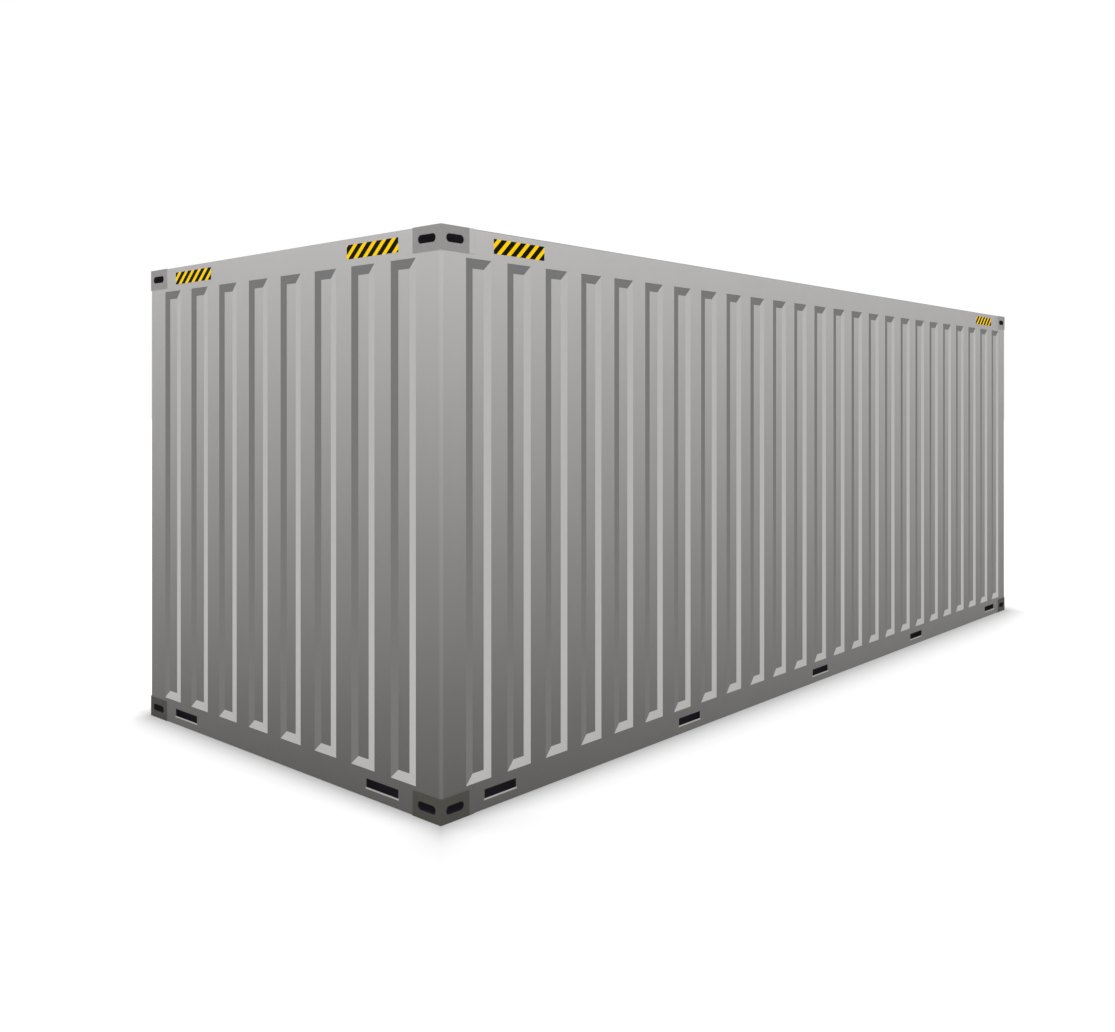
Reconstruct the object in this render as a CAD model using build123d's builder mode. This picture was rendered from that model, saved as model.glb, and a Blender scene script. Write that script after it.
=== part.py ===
# A twenty foot steel shipping container, closed at the front end, with double doors at the rear.
# Millimetres. X runs along the length towards the doors, Y across, Z up from the ground.
# The origin lies on the ground, under the middle of the container.

import os
from math import atan2, tan

from build123d import *

# Overall size, over the corner castings
LENGTH = 6058
WIDTH = 2438
HEIGHT = 2438

# How far frame and sheets stay inside the castings' outer faces
FACE_STEP = 2
GROUND_STEP = 2
ROOF_STEP = 2

# Corner castings
CASTING_LENGTH = 178
CASTING_WIDTH = 180
CASTING_HEIGHT = 106
CASTING_WALL = 14
CASTING_PLATE = 28
CASTING_EDGE = 4
CASTING_WEB = 10
WEB_REACH_X = 52
WEB_REACH_Y = 30
LOCK_INSET_X = 102.5
LOCK_INSET_Y = 89.5
LOCK_HOLE_LENGTH = 124.5
LOCK_HOLE_WIDTH = 63.5
HOLE_HEIGHT = 36
HOLE_RISE = 53
SIDE_HOLE_LENGTH = 96
SIDE_HOLE_INSET = 76
END_HOLE_LENGTH = 114
END_HOLE_INSET = 90

# Corner posts
POST_WALL = 6
POST_SIDE_FACE = 120
POST_END_FACE = 145
POST_RETURN = 45
POST_CORNER_RADIUS = 10

# Door posts: a lip beside the leaves and a stop behind them
DOOR_LIP = 45
DOOR_STOP_REACH = 65
REBATE_DEPTH = 92

# Rails along the sides and across the ends
RAIL_WALL = 5
RAIL_DEPTH = 60
SILL_DEPTH = 160
STOP_HEIGHT = 44

# Slots through the bottom rails, with a small lip under each
SLOT_HEIGHT = 38
SLOT_FLOOR = 46
SLOT_LIP_HEIGHT = 8
SLOT_LIP_OVERHANG = 4
SLOT_LIP_TAPER = 45
SIDE_SLOT_LENGTH = 184
SIDE_SLOT_INSET = 331
SIDE_SLOT_COUNT = 5
END_SLOT_LENGTH = 221
END_SLOT_INSET = 386.5
END_SLOT_COUNT = 2

# Pressed sheets: upright grooves with sloped flanks and sloped ends
SHEET = 2
GROOVE_DEPTH = 4
SIDE_GROOVE_FLANK = 39.5
END_GROOVE_FLANK = 46
GROOVE_CAP = 41.5
GROOVE_EDGE = 19
GROOVE_SIDE_MARGIN = 14
SIDE_GROOVE_WIDTH = 141
SIDE_GROOVE_COUNT = 25
END_GROOVE_WIDTH = 166
END_GROOVE_COUNT = 8
DOOR_GROOVE_COUNT = 4
DOOR_GROOVE_MARGIN = 66
ROOF_PLATE = 3

# Floor
DECK_THICKNESS = 28
DECK_CLEARANCE = 3
DECK_TOP = 150
MEMBER_FLANGE = 45
MEMBER_WALL = 5
MEMBERS_PER_SLOT = 5

# Door leaves
LEAF_GAP = 8
LEAF_THICKNESS = 40
STILE_WIDTH = 90
LEAF_RAIL_HEIGHT = 110
GASKET_THICKNESS = 4
GASKET_WIDTH = 25
GASKET_INSET = 7

# Lock rods, with a cam at each end and two ears for the handle
ROD_RADIUS = 15
ROD_STANDOFF = 22
ROD_CLEARANCE = 0.3
ROD_END_GAP = 4
CAM_WIDTH = 56
CAM_DEPTH = 34
CAM_HEIGHT = 16
CAM_CORNER = 10
EAR_WALL = 5
EAR_REACH = 48
EAR_HEIGHT = 56

# Rod brackets: straps folded over the rods
BRACKET_WALL = 6
BRACKET_WIDTH = 90
BRACKET_HEIGHT = 60
BRACKET_BEND = 7
BRACKET_INSET = 160
BRACKETS_PER_ROD = 4

# Cam keepers
KEEPER_WIDTH = 84
KEEPER_WALL = 10
KEEPER_HEIGHT = 34
KEEPER_BASE = 6
KEEPER_DEPTH = 36
KEEPER_FRONT = 6
KEEPER_CORNER = 12

# Handles and the catches that hold their free ends
HANDLE_DROP = 190
HANDLE_STAGGER = 180
HANDLE_BAR_HEIGHT = 26
HANDLE_BAR_THICKNESS = 10
HANDLE_JOG = 8
HANDLE_JOG_START = 62
HANDLE_JOG_END = 100
HANDLE_TIP = 20
CATCH_WIDTH = 50
CATCH_HEIGHT = 90
CATCH_WALL = 6
CATCH_SHIFT = 15
CATCH_MOUTH = 12

# Hinges
HINGE_COUNT = 4
HINGE_INSET = 220
HINGE_EYE_RADIUS = 18
HINGE_EYE_CLEARANCE = 1
HINGE_EYE_HEIGHT = 90
HINGE_LUG_HEIGHT = 14
HINGE_LUG_GAP = 1
HINGE_LUG_CORNER = 9
HINGE_BLADE_LENGTH = 110
HINGE_BLADE_THICKNESS = 8

# Planes and places that several pieces share
END_FACE = LENGTH / 2 - FACE_STEP
SIDE_FACE = WIDTH / 2 - FACE_STEP
FRONT_X = -END_FACE
LEFT_Y = -SIDE_FACE
ROOF_TOP = HEIGHT - ROOF_STEP
ROOF_SEAT = ROOF_TOP - SHEET
HEADER_TOP = ROOF_TOP - ROOF_PLATE
POST_BOTTOM = CASTING_HEIGHT
POST_TOP = HEIGHT - CASTING_HEIGHT
MIDDLE_Z = HEIGHT / 2
CASTING_GAP_X = LENGTH - 2 * CASTING_LENGTH
CASTING_GAP_Y = WIDTH - 2 * CASTING_WIDTH
STOP_FACE = END_FACE - REBATE_DEPTH
LEAF_BACK = STOP_FACE + GASKET_THICKNESS
LEAF_FRONT = LEAF_BACK + LEAF_THICKNESS
LEAF_BOTTOM = POST_BOTTOM + LEAF_GAP
LEAF_TOP = POST_TOP - LEAF_GAP
LEAF_HEIGHT = LEAF_TOP - LEAF_BOTTOM
LEAF_INNER_EDGE = LEAF_GAP / 2
LEAF_OUTER_EDGE = SIDE_FACE - DOOR_LIP - LEAF_GAP
LEAF_WIDTH = LEAF_OUTER_EDGE - LEAF_INNER_EDGE
LEAF_MIDDLE_Y = (LEAF_OUTER_EDGE + LEAF_INNER_EDGE) / 2
LEAF_SHEET_WIDTH = LEAF_WIDTH - 2 * STILE_WIDTH
LEAF_SHEET_HEIGHT = LEAF_HEIGHT - 2 * LEAF_RAIL_HEIGHT
HINGE_PITCH = (LEAF_HEIGHT - 2 * HINGE_INSET) / (HINGE_COUNT - 1)
HINGE_HEIGHTS = [LEAF_BOTTOM + HINGE_INSET + i * HINGE_PITCH for i in range(HINGE_COUNT)]

ACROSS = Plane.XZ
ALONG = Plane.YZ
MID_HEIGHT = Plane.XY.offset(MIDDLE_Z)
INWARD = (Align.CENTER, Align.MIN, Align.CENTER)

os.makedirs("parts", exist_ok=True)


def save(piece, label):
    """Name a finished piece and write it out."""
    piece.part.label = label
    export_step(piece.part, f"parts/{label}.step")


def save_mirrored(piece, plane, label):
    """Write the mirror image of a finished piece, and return it."""
    with BuildPart() as image:
        mirror(piece.part, about=plane)
    save(image, label)
    return image


# Corner castings: hollow blocks with a lock hole underneath and a hole in each outer face.
# A slanted web inside the outer corner parts the two face holes, so that no light shows through.
CASTING_X = LENGTH / 2 - CASTING_LENGTH / 2
CASTING_Y = WIDTH / 2 - CASTING_WIDTH / 2
CAVITY_HEIGHT = CASTING_HEIGHT - CASTING_PLATE - CASTING_WALL
WEB_X = -LENGTH / 2 + CASTING_WALL
WEB_Y = -WIDTH / 2 + CASTING_WALL

with BuildPart() as casting:
    with BuildSketch(Plane.XY):
        with Locations((-CASTING_X, -CASTING_Y)):
            Rectangle(CASTING_LENGTH, CASTING_WIDTH)
    extrude(amount=CASTING_HEIGHT)
    outer_corner = casting.edges().filter_by(Axis.Z).sort_by(Axis.X)[:2].sort_by(Axis.Y)[0]
    chamfer(outer_corner, length=CASTING_EDGE)
    with BuildSketch(Plane.XY.offset(CASTING_PLATE)):
        with Locations((-CASTING_X, -CASTING_Y)):
            Rectangle(CASTING_LENGTH - 2 * CASTING_WALL, CASTING_WIDTH - 2 * CASTING_WALL)
    extrude(amount=CAVITY_HEIGHT, mode=Mode.SUBTRACT)
    with BuildSketch(Plane.XY.offset(CASTING_PLATE)):
        with BuildLine():
            Polyline(
                (WEB_X, WEB_Y),
                (WEB_X + CASTING_WEB, WEB_Y),
                (WEB_X + WEB_REACH_X + CASTING_WEB, WEB_Y + WEB_REACH_Y),
                (WEB_X + WEB_REACH_X, WEB_Y + WEB_REACH_Y),
                close=True,
            )
        make_face()
    extrude(amount=CAVITY_HEIGHT)
    with BuildSketch(Plane.XY):
        with Locations((-LENGTH / 2 + LOCK_INSET_X, -WIDTH / 2 + LOCK_INSET_Y)):
            SlotOverall(LOCK_HOLE_LENGTH, LOCK_HOLE_WIDTH)
    extrude(amount=CASTING_PLATE, mode=Mode.SUBTRACT)
    with BuildSketch(Plane.XZ.offset(WIDTH / 2)):
        with Locations((-LENGTH / 2 + SIDE_HOLE_INSET, HOLE_RISE)):
            SlotOverall(SIDE_HOLE_LENGTH, HOLE_HEIGHT)
    extrude(amount=-CASTING_WALL, mode=Mode.SUBTRACT)
    with BuildSketch(Plane.YZ.offset(-LENGTH / 2)):
        with Locations((-WIDTH / 2 + END_HOLE_INSET, HOLE_RISE)):
            SlotOverall(END_HOLE_LENGTH, HOLE_HEIGHT)
    extrude(amount=CASTING_WALL, mode=Mode.SUBTRACT)

save(casting, "casting_front_left_bottom")
casting_right = save_mirrored(casting, ACROSS, "casting_front_right_bottom")
casting_door = save_mirrored(casting, ALONG, "casting_door_left_bottom")
casting_door_right = save_mirrored(casting_right, ALONG, "casting_door_right_bottom")
save_mirrored(casting, MID_HEIGHT, "casting_front_left_top")
save_mirrored(casting_right, MID_HEIGHT, "casting_front_right_top")
save_mirrored(casting_door, MID_HEIGHT, "casting_door_left_top")
save_mirrored(casting_door_right, MID_HEIGHT, "casting_door_right_top")


# Front corner post: a closed pressed section, slanted on the side that faces the hold
with BuildPart() as front_post:
    with BuildSketch(Plane.XY.offset(POST_BOTTOM)) as section:
        with BuildLine():
            Polyline(
                (FRONT_X, LEFT_Y),
                (FRONT_X + POST_SIDE_FACE, LEFT_Y),
                (FRONT_X + POST_SIDE_FACE, LEFT_Y + POST_RETURN),
                (FRONT_X + POST_RETURN, LEFT_Y + POST_END_FACE),
                (FRONT_X, LEFT_Y + POST_END_FACE),
                close=True,
            )
        make_face()
        outer_corner = section.vertices().sort_by(Axis.X)[:2].sort_by(Axis.Y)[0]
        fillet(outer_corner, radius=POST_CORNER_RADIUS)
        offset(amount=-POST_WALL, mode=Mode.SUBTRACT)
    extrude(amount=POST_TOP - POST_BOTTOM)

save(front_post, "front_post_left")
save_mirrored(front_post, ACROSS, "front_post_right")


# Door post: a closed section with a lip beside the leaf and a stop behind it
with BuildPart() as door_post:
    with BuildSketch(Plane.XY.offset(POST_BOTTOM)) as section:
        with BuildLine():
            Polyline(
                (END_FACE, LEFT_Y),
                (END_FACE, LEFT_Y + DOOR_LIP),
                (STOP_FACE, LEFT_Y + DOOR_LIP),
                (STOP_FACE, LEFT_Y + DOOR_LIP + DOOR_STOP_REACH),
                (END_FACE - POST_SIDE_FACE, LEFT_Y + DOOR_LIP + DOOR_STOP_REACH),
                (END_FACE - POST_SIDE_FACE, LEFT_Y),
                close=True,
            )
        make_face()
        outer_corner = section.vertices().sort_by(Axis.X)[-2:].sort_by(Axis.Y)[0]
        fillet(outer_corner, radius=POST_CORNER_RADIUS)
        offset(amount=-POST_WALL, kind=Kind.INTERSECTION, mode=Mode.SUBTRACT)
    extrude(amount=POST_TOP - POST_BOTTOM)

save(door_post, "door_post_left")
save_mirrored(door_post, ACROSS, "door_post_right")


# Rails: box sections between the castings, with slots through the outer web of the bottom ones
def side_rail(bottom, top):
    """A box rail along the left side, between two heights."""
    with BuildPart() as rail:
        with BuildSketch(Plane.YZ.offset(-CASTING_GAP_X / 2)):
            with Locations((LEFT_Y + RAIL_DEPTH / 2, (bottom + top) / 2)):
                Rectangle(RAIL_DEPTH, top - bottom)
                Rectangle(RAIL_DEPTH - 2 * RAIL_WALL, top - bottom - 2 * RAIL_WALL, mode=Mode.SUBTRACT)
        extrude(amount=CASTING_GAP_X)
    return rail


def end_rail(middle_x, depth, bottom, top):
    """A box rail across one end, between two heights."""
    with BuildPart() as rail:
        with BuildSketch(Plane.XZ.offset(CASTING_GAP_Y / 2)):
            with Locations((middle_x, (bottom + top) / 2)):
                Rectangle(depth, top - bottom)
                Rectangle(depth - 2 * RAIL_WALL, top - bottom - 2 * RAIL_WALL, mode=Mode.SUBTRACT)
        extrude(amount=-CASTING_GAP_Y)
    return rail


def slotted(plain_rail, face, length, pitch, count):
    """A rail with slots through its outer web, and a small bevelled lip under each slot."""
    with BuildPart() as rail:
        add(plain_rail.part)
        with BuildSketch(face):
            with Locations((0, SLOT_FLOOR + SLOT_HEIGHT / 2)):
                with GridLocations(pitch, 0, count, 1):
                    Rectangle(length, SLOT_HEIGHT)
        extrude(amount=-RAIL_WALL, mode=Mode.SUBTRACT)
        with BuildSketch(face):
            with Locations((0, SLOT_FLOOR - SLOT_LIP_HEIGHT / 2)):
                with GridLocations(pitch, 0, count, 1):
                    Rectangle(length + 2 * SLOT_LIP_OVERHANG, SLOT_LIP_HEIGHT)
        extrude(amount=FACE_STEP, taper=SLOT_LIP_TAPER)
    return rail


SIDE_SLOT_PITCH = (LENGTH - 2 * SIDE_SLOT_INSET) / (SIDE_SLOT_COUNT - 1)
END_SLOT_PITCH = (WIDTH - 2 * END_SLOT_INSET) / (END_SLOT_COUNT - 1)
LEFT_SIDE = Plane(origin=(0, LEFT_Y, 0), x_dir=(1, 0, 0), z_dir=(0, -1, 0))
FRONT_END = Plane(origin=(FRONT_X, 0, 0), x_dir=(0, -1, 0), z_dir=(-1, 0, 0))

top_rail = side_rail(POST_TOP, ROOF_SEAT)
save(top_rail, "top_rail_left")
save_mirrored(top_rail, ACROSS, "top_rail_right")

bottom_rail = slotted(
    side_rail(GROUND_STEP, POST_BOTTOM), LEFT_SIDE, SIDE_SLOT_LENGTH, SIDE_SLOT_PITCH, SIDE_SLOT_COUNT
)
save(bottom_rail, "bottom_rail_left")
save_mirrored(bottom_rail, ACROSS, "bottom_rail_right")

FRONT_RAIL_X = FRONT_X + RAIL_DEPTH / 2
front_sill = slotted(
    end_rail(FRONT_RAIL_X, RAIL_DEPTH, GROUND_STEP, POST_BOTTOM),
    FRONT_END,
    END_SLOT_LENGTH,
    END_SLOT_PITCH,
    END_SLOT_COUNT,
)
save(front_sill, "front_sill")
save(end_rail(FRONT_RAIL_X, RAIL_DEPTH, POST_TOP, HEADER_TOP), "front_header")


# Door sill and header: a deep box across the end, and a stop bar that the leaves close against
STOP_DEPTH = SILL_DEPTH - REBATE_DEPTH
STOP_MIDDLE_X = STOP_FACE - STOP_DEPTH / 2
STOP_SPAN = 2 * (SIDE_FACE - DOOR_LIP - DOOR_STOP_REACH)
DOOR_RAIL_X = END_FACE - SILL_DEPTH / 2

with BuildPart() as door_sill:
    add(end_rail(DOOR_RAIL_X, SILL_DEPTH, GROUND_STEP, POST_BOTTOM).part)
    with BuildSketch(Plane.XY.offset(POST_BOTTOM)):
        with Locations((STOP_MIDDLE_X, 0)):
            Rectangle(STOP_DEPTH, STOP_SPAN)
    extrude(amount=STOP_HEIGHT)

save(door_sill, "door_sill")

with BuildPart() as door_header:
    add(end_rail(DOOR_RAIL_X, SILL_DEPTH, POST_TOP, HEADER_TOP).part)
    with BuildSketch(Plane.XY.offset(POST_TOP)):
        with Locations((STOP_MIDDLE_X, 0)):
            Rectangle(STOP_DEPTH, STOP_SPAN)
    extrude(amount=-STOP_HEIGHT)

save(door_header, "door_header")


# Pressed sheets
def groove(width, length, flank, mode):
    """A groove's frustum, from its mouth on the working plane to its narrower floor."""
    Wedge(
        width,
        GROOVE_DEPTH,
        length,
        flank,
        GROOVE_CAP,
        width - flank,
        length - GROOVE_CAP,
        align=INWARD,
        mode=mode,
    )


def bend_allowance(slope):
    """How much wider a groove is on the inner side of the sheet, for a slope of this width."""
    return 2 * SHEET * tan(atan2(GROOVE_DEPTH, slope) / 2)


def pressed_sheet(face, span, height, groove_width, flank, groove_length, pitch, count):
    """A sheet with its outer side on the given plane, and a row of grooves pressed into it.

    The plane's X runs along the sheet, its Y inwards and its Z along the grooves. The sheet keeps
    its thickness round the bends, because the inner frustum is wider by the bend's allowance.
    """
    inner_width = groove_width + bend_allowance(flank)
    inner_length = groove_length + bend_allowance(GROOVE_CAP)
    with BuildPart(face) as sheet:
        Box(span, SHEET, height, align=INWARD)
        with Locations((0, SHEET, 0)):
            with GridLocations(pitch, 0, count, 1):
                groove(inner_width, inner_length, flank, Mode.ADD)
        with GridLocations(pitch, 0, count, 1):
            groove(groove_width, groove_length, flank, Mode.SUBTRACT)
    return sheet


def groove_pitch(span, margin, width, count):
    """The even spacing of grooves whose outer edges lie a margin inside the sheet."""
    return (span - 2 * margin - width) / (count - 1)


# Side and front sheets, between the posts and rails
PANEL_HEIGHT = POST_TOP - POST_BOTTOM
PANEL_GROOVE_LENGTH = PANEL_HEIGHT - 2 * GROOVE_EDGE
SIDE_SPAN = 2 * (END_FACE - POST_SIDE_FACE)
END_SPAN = 2 * (SIDE_FACE - POST_END_FACE)
SIDE_PITCH = groove_pitch(SIDE_SPAN, GROOVE_SIDE_MARGIN, SIDE_GROOVE_WIDTH, SIDE_GROOVE_COUNT)
END_PITCH = groove_pitch(END_SPAN, GROOVE_SIDE_MARGIN, END_GROOVE_WIDTH, END_GROOVE_COUNT)

side_panel = pressed_sheet(
    Plane(origin=(0, LEFT_Y, MIDDLE_Z), x_dir=(1, 0, 0), z_dir=(0, 0, 1)),
    SIDE_SPAN,
    PANEL_HEIGHT,
    SIDE_GROOVE_WIDTH,
    SIDE_GROOVE_FLANK,
    PANEL_GROOVE_LENGTH,
    SIDE_PITCH,
    SIDE_GROOVE_COUNT,
)
save(side_panel, "side_panel_left")
save_mirrored(side_panel, ACROSS, "side_panel_right")

front_panel = pressed_sheet(
    Plane(origin=(FRONT_X, 0, MIDDLE_Z), x_dir=(0, -1, 0), z_dir=(0, 0, 1)),
    END_SPAN,
    PANEL_HEIGHT,
    END_GROOVE_WIDTH,
    END_GROOVE_FLANK,
    PANEL_GROOVE_LENGTH,
    END_PITCH,
    END_GROOVE_COUNT,
)
save(front_panel, "front_panel")

# The roof sheet lies over the side rails, and its grooves stay between them
roof_panel = pressed_sheet(
    Plane(origin=(0, 0, ROOF_TOP), x_dir=(1, 0, 0), z_dir=(0, 1, 0)),
    CASTING_GAP_X,
    2 * SIDE_FACE,
    SIDE_GROOVE_WIDTH,
    SIDE_GROOVE_FLANK,
    2 * (SIDE_FACE - RAIL_DEPTH - GROOVE_SIDE_MARGIN),
    SIDE_PITCH,
    SIDE_GROOVE_COUNT - 2,
)
save(roof_panel, "roof_panel")

# Flat plates close the roof between the castings at each end
with BuildPart() as roof_plate:
    with BuildSketch(Plane.XY.offset(HEADER_TOP)):
        with Locations(((FRONT_X - CASTING_GAP_X / 2) / 2, 0)):
            Rectangle(END_FACE - CASTING_GAP_X / 2, CASTING_GAP_Y)
    extrude(amount=ROOF_PLATE)

save(roof_plate, "roof_plate_front")
save_mirrored(roof_plate, ALONG, "roof_plate_door")


# Cross members: channels between the bottom side rails, evenly set between the slots
MEMBER_BOTTOM = GROUND_STEP + RAIL_WALL
MEMBER_TOP = DECK_TOP - DECK_THICKNESS
MEMBER_MIDDLE = (MEMBER_BOTTOM + MEMBER_TOP) / 2
MEMBER_HEIGHT = MEMBER_TOP - MEMBER_BOTTOM
MEMBER_HALF_SPAN = SIDE_FACE - RAIL_DEPTH
MEMBER_PITCH = SIDE_SLOT_PITCH / MEMBERS_PER_SLOT
MEMBER_COUNT = MEMBERS_PER_SLOT * (SIDE_SLOT_COUNT - 1)

with BuildPart() as cross_members:
    with BuildSketch(Plane.XZ.offset(MEMBER_HALF_SPAN)):
        with Locations((0, MEMBER_MIDDLE)):
            with GridLocations(MEMBER_PITCH, 0, MEMBER_COUNT, 1):
                Rectangle(MEMBER_FLANGE, MEMBER_HEIGHT)
        with Locations((MEMBER_WALL, MEMBER_MIDDLE)):
            with GridLocations(MEMBER_PITCH, 0, MEMBER_COUNT, 1):
                Rectangle(MEMBER_FLANGE, MEMBER_HEIGHT - 2 * MEMBER_WALL, mode=Mode.SUBTRACT)
    extrude(amount=-2 * MEMBER_HALF_SPAN)

save(cross_members, "cross_members")


# Floor deck: boards laid over the cross members, cut round the front posts
DECK_FRONT = FRONT_X + SHEET + GROOVE_DEPTH + DECK_CLEARANCE
DECK_REAR = END_FACE - SILL_DEPTH
DECK_HALF_WIDTH = SIDE_FACE - SHEET - GROOVE_DEPTH - DECK_CLEARANCE
NOTCH_LENGTH = FRONT_X + POST_SIDE_FACE + DECK_CLEARANCE - DECK_FRONT
NOTCH_WIDTH = DECK_HALF_WIDTH - (SIDE_FACE - POST_END_FACE - DECK_CLEARANCE)

with BuildPart() as floor_deck:
    with BuildSketch(Plane.XY.offset(MEMBER_TOP)):
        with Locations(((DECK_FRONT + DECK_REAR) / 2, 0)):
            Rectangle(DECK_REAR - DECK_FRONT, 2 * DECK_HALF_WIDTH)
        with Locations((DECK_FRONT + NOTCH_LENGTH / 2, 0)):
            with GridLocations(0, 2 * DECK_HALF_WIDTH - NOTCH_WIDTH, 1, 2):
                Rectangle(NOTCH_LENGTH, NOTCH_WIDTH, mode=Mode.SUBTRACT)
    extrude(amount=DECK_THICKNESS)

save(floor_deck, "floor_deck")


# Door leaf: a welded frame, a pressed sheet inside it and a rubber gasket behind it
with BuildPart() as door_frame:
    with BuildSketch(Plane.YZ.offset(LEAF_BACK)):
        with Locations((-LEAF_MIDDLE_Y, MIDDLE_Z)):
            Rectangle(LEAF_WIDTH, LEAF_HEIGHT)
            Rectangle(LEAF_SHEET_WIDTH, LEAF_SHEET_HEIGHT, mode=Mode.SUBTRACT)
    extrude(amount=LEAF_THICKNESS)

save(door_frame, "door_frame_left")
save_mirrored(door_frame, ACROSS, "door_frame_right")

DOOR_GROOVE_PITCH = groove_pitch(
    LEAF_SHEET_WIDTH, DOOR_GROOVE_MARGIN, SIDE_GROOVE_WIDTH, DOOR_GROOVE_COUNT
)
door_panel = pressed_sheet(
    Plane(origin=(LEAF_FRONT, -LEAF_MIDDLE_Y, MIDDLE_Z), x_dir=(0, 1, 0), z_dir=(0, 0, 1)),
    LEAF_SHEET_WIDTH,
    LEAF_SHEET_HEIGHT,
    SIDE_GROOVE_WIDTH,
    SIDE_GROOVE_FLANK,
    LEAF_SHEET_HEIGHT - 2 * GROOVE_EDGE,
    DOOR_GROOVE_PITCH,
    DOOR_GROOVE_COUNT,
)
save(door_panel, "door_panel_left")
save_mirrored(door_panel, ACROSS, "door_panel_right")

GASKET_SPAN = LEAF_WIDTH - 2 * GASKET_INSET
GASKET_HEIGHT = LEAF_HEIGHT - 2 * GASKET_INSET

with BuildPart() as door_gasket:
    with BuildSketch(Plane.YZ.offset(STOP_FACE)):
        with Locations((-LEAF_MIDDLE_Y, MIDDLE_Z)):
            Rectangle(GASKET_SPAN, GASKET_HEIGHT)
            Rectangle(
                GASKET_SPAN - 2 * GASKET_WIDTH, GASKET_HEIGHT - 2 * GASKET_WIDTH, mode=Mode.SUBTRACT
            )
    extrude(amount=GASKET_THICKNESS)

save(door_gasket, "door_gasket_left")
save_mirrored(door_gasket, ACROSS, "door_gasket_right")


# Lock rods: one over the ridge either side of each leaf's middle
ROD_X = LEAF_FRONT + ROD_STANDOFF
ROD_BOTTOM = POST_BOTTOM + KEEPER_BASE + ROD_END_GAP
ROD_TOP = POST_TOP - KEEPER_BASE - ROD_END_GAP
ROD_INNER_Y = LEAF_MIDDLE_Y - DOOR_GROOVE_PITCH
ROD_OUTER_Y = LEAF_MIDDLE_Y + DOOR_GROOVE_PITCH
ROD_PLACES = [-ROD_OUTER_Y, -ROD_INNER_Y, ROD_INNER_Y, ROD_OUTER_Y]
BRACKET_PITCH = (LEAF_HEIGHT - 2 * BRACKET_INSET) / (BRACKETS_PER_ROD - 1)
BRACKET_HEIGHTS = [LEAF_BOTTOM + BRACKET_INSET + i * BRACKET_PITCH for i in range(BRACKETS_PER_ROD)]
OUTER_HANDLE_Z = HINGE_HEIGHTS[2] - HANDLE_DROP
INNER_HANDLE_Z = OUTER_HANDLE_Z - HANDLE_STAGGER
EAR_SPACING = HANDLE_BAR_THICKNESS + 2 * ROD_CLEARANCE + EAR_WALL


def lock_rod(y, handle_z):
    """A round bar with a flat cam welded on at each end, and two ears that point to the hinges."""
    outward = 1 if y > 0 else -1
    with BuildPart() as rod:
        with BuildSketch(Plane.XY.offset(ROD_BOTTOM)):
            with Locations((ROD_X, y)):
                Circle(ROD_RADIUS)
        extrude(amount=ROD_TOP - ROD_BOTTOM)
        for cam_height in (ROD_BOTTOM, ROD_TOP - CAM_HEIGHT):
            with BuildSketch(Plane.XY.offset(cam_height)) as cam:
                with Locations((ROD_X, y)):
                    Rectangle(CAM_DEPTH, CAM_WIDTH)
                chamfer(cam.vertices(), length=CAM_CORNER)
            extrude(amount=CAM_HEIGHT)
        with BuildSketch(Plane.XY.offset(handle_z - EAR_HEIGHT / 2)):
            with Locations((ROD_X, y + outward * EAR_REACH / 2)):
                with GridLocations(EAR_SPACING, 0, 2, 1):
                    Rectangle(EAR_WALL, EAR_REACH)
        extrude(amount=EAR_HEIGHT)
    return rod


save(lock_rod(-ROD_OUTER_Y, OUTER_HANDLE_Z), "lock_rod_left_outer")
save(lock_rod(-ROD_INNER_Y, INNER_HANDLE_Z), "lock_rod_left_inner")
save(lock_rod(ROD_INNER_Y, INNER_HANDLE_Z), "lock_rod_right_inner")
save(lock_rod(ROD_OUTER_Y, OUTER_HANDLE_Z), "lock_rod_right_outer")


# Rod brackets: straps folded over the rods, with a foot on the leaf at either side
STRAP_INSIDE = ROD_RADIUS + ROD_CLEARANCE
STRAP_OUTSIDE = STRAP_INSIDE + BRACKET_WALL
STRAP_RISE = ROD_STANDOFF + STRAP_INSIDE

with BuildSketch() as strap:
    with BuildLine():
        Polyline(
            (0, STRAP_INSIDE),
            (0, BRACKET_WIDTH / 2),
            (BRACKET_WALL, BRACKET_WIDTH / 2),
            (BRACKET_WALL, STRAP_OUTSIDE),
            (STRAP_RISE + BRACKET_WALL - BRACKET_BEND, STRAP_OUTSIDE),
            (STRAP_RISE + BRACKET_WALL, STRAP_OUTSIDE - BRACKET_BEND),
            (STRAP_RISE + BRACKET_WALL, 0),
            (STRAP_RISE, 0),
            (STRAP_RISE, STRAP_INSIDE),
            close=True,
        )
    make_face()
    mirror(about=Plane.XZ)

with BuildPart() as rod_brackets:
    for bracket_height in BRACKET_HEIGHTS:
        with BuildSketch(Plane.XY.offset(bracket_height - BRACKET_HEIGHT / 2)):
            with Locations([(LEAF_FRONT, y) for y in ROD_PLACES]):
                add(strap.sketch)
        extrude(amount=BRACKET_HEIGHT)

save(rod_brackets, "rod_brackets")


# Cam keepers: a lug on each side of every cam, on a base plate welded to the sill or header
KEEPER_X = END_FACE - KEEPER_FRONT - KEEPER_DEPTH / 2
KEEPER_LUG_SPACING = KEEPER_WIDTH - KEEPER_WALL

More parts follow.
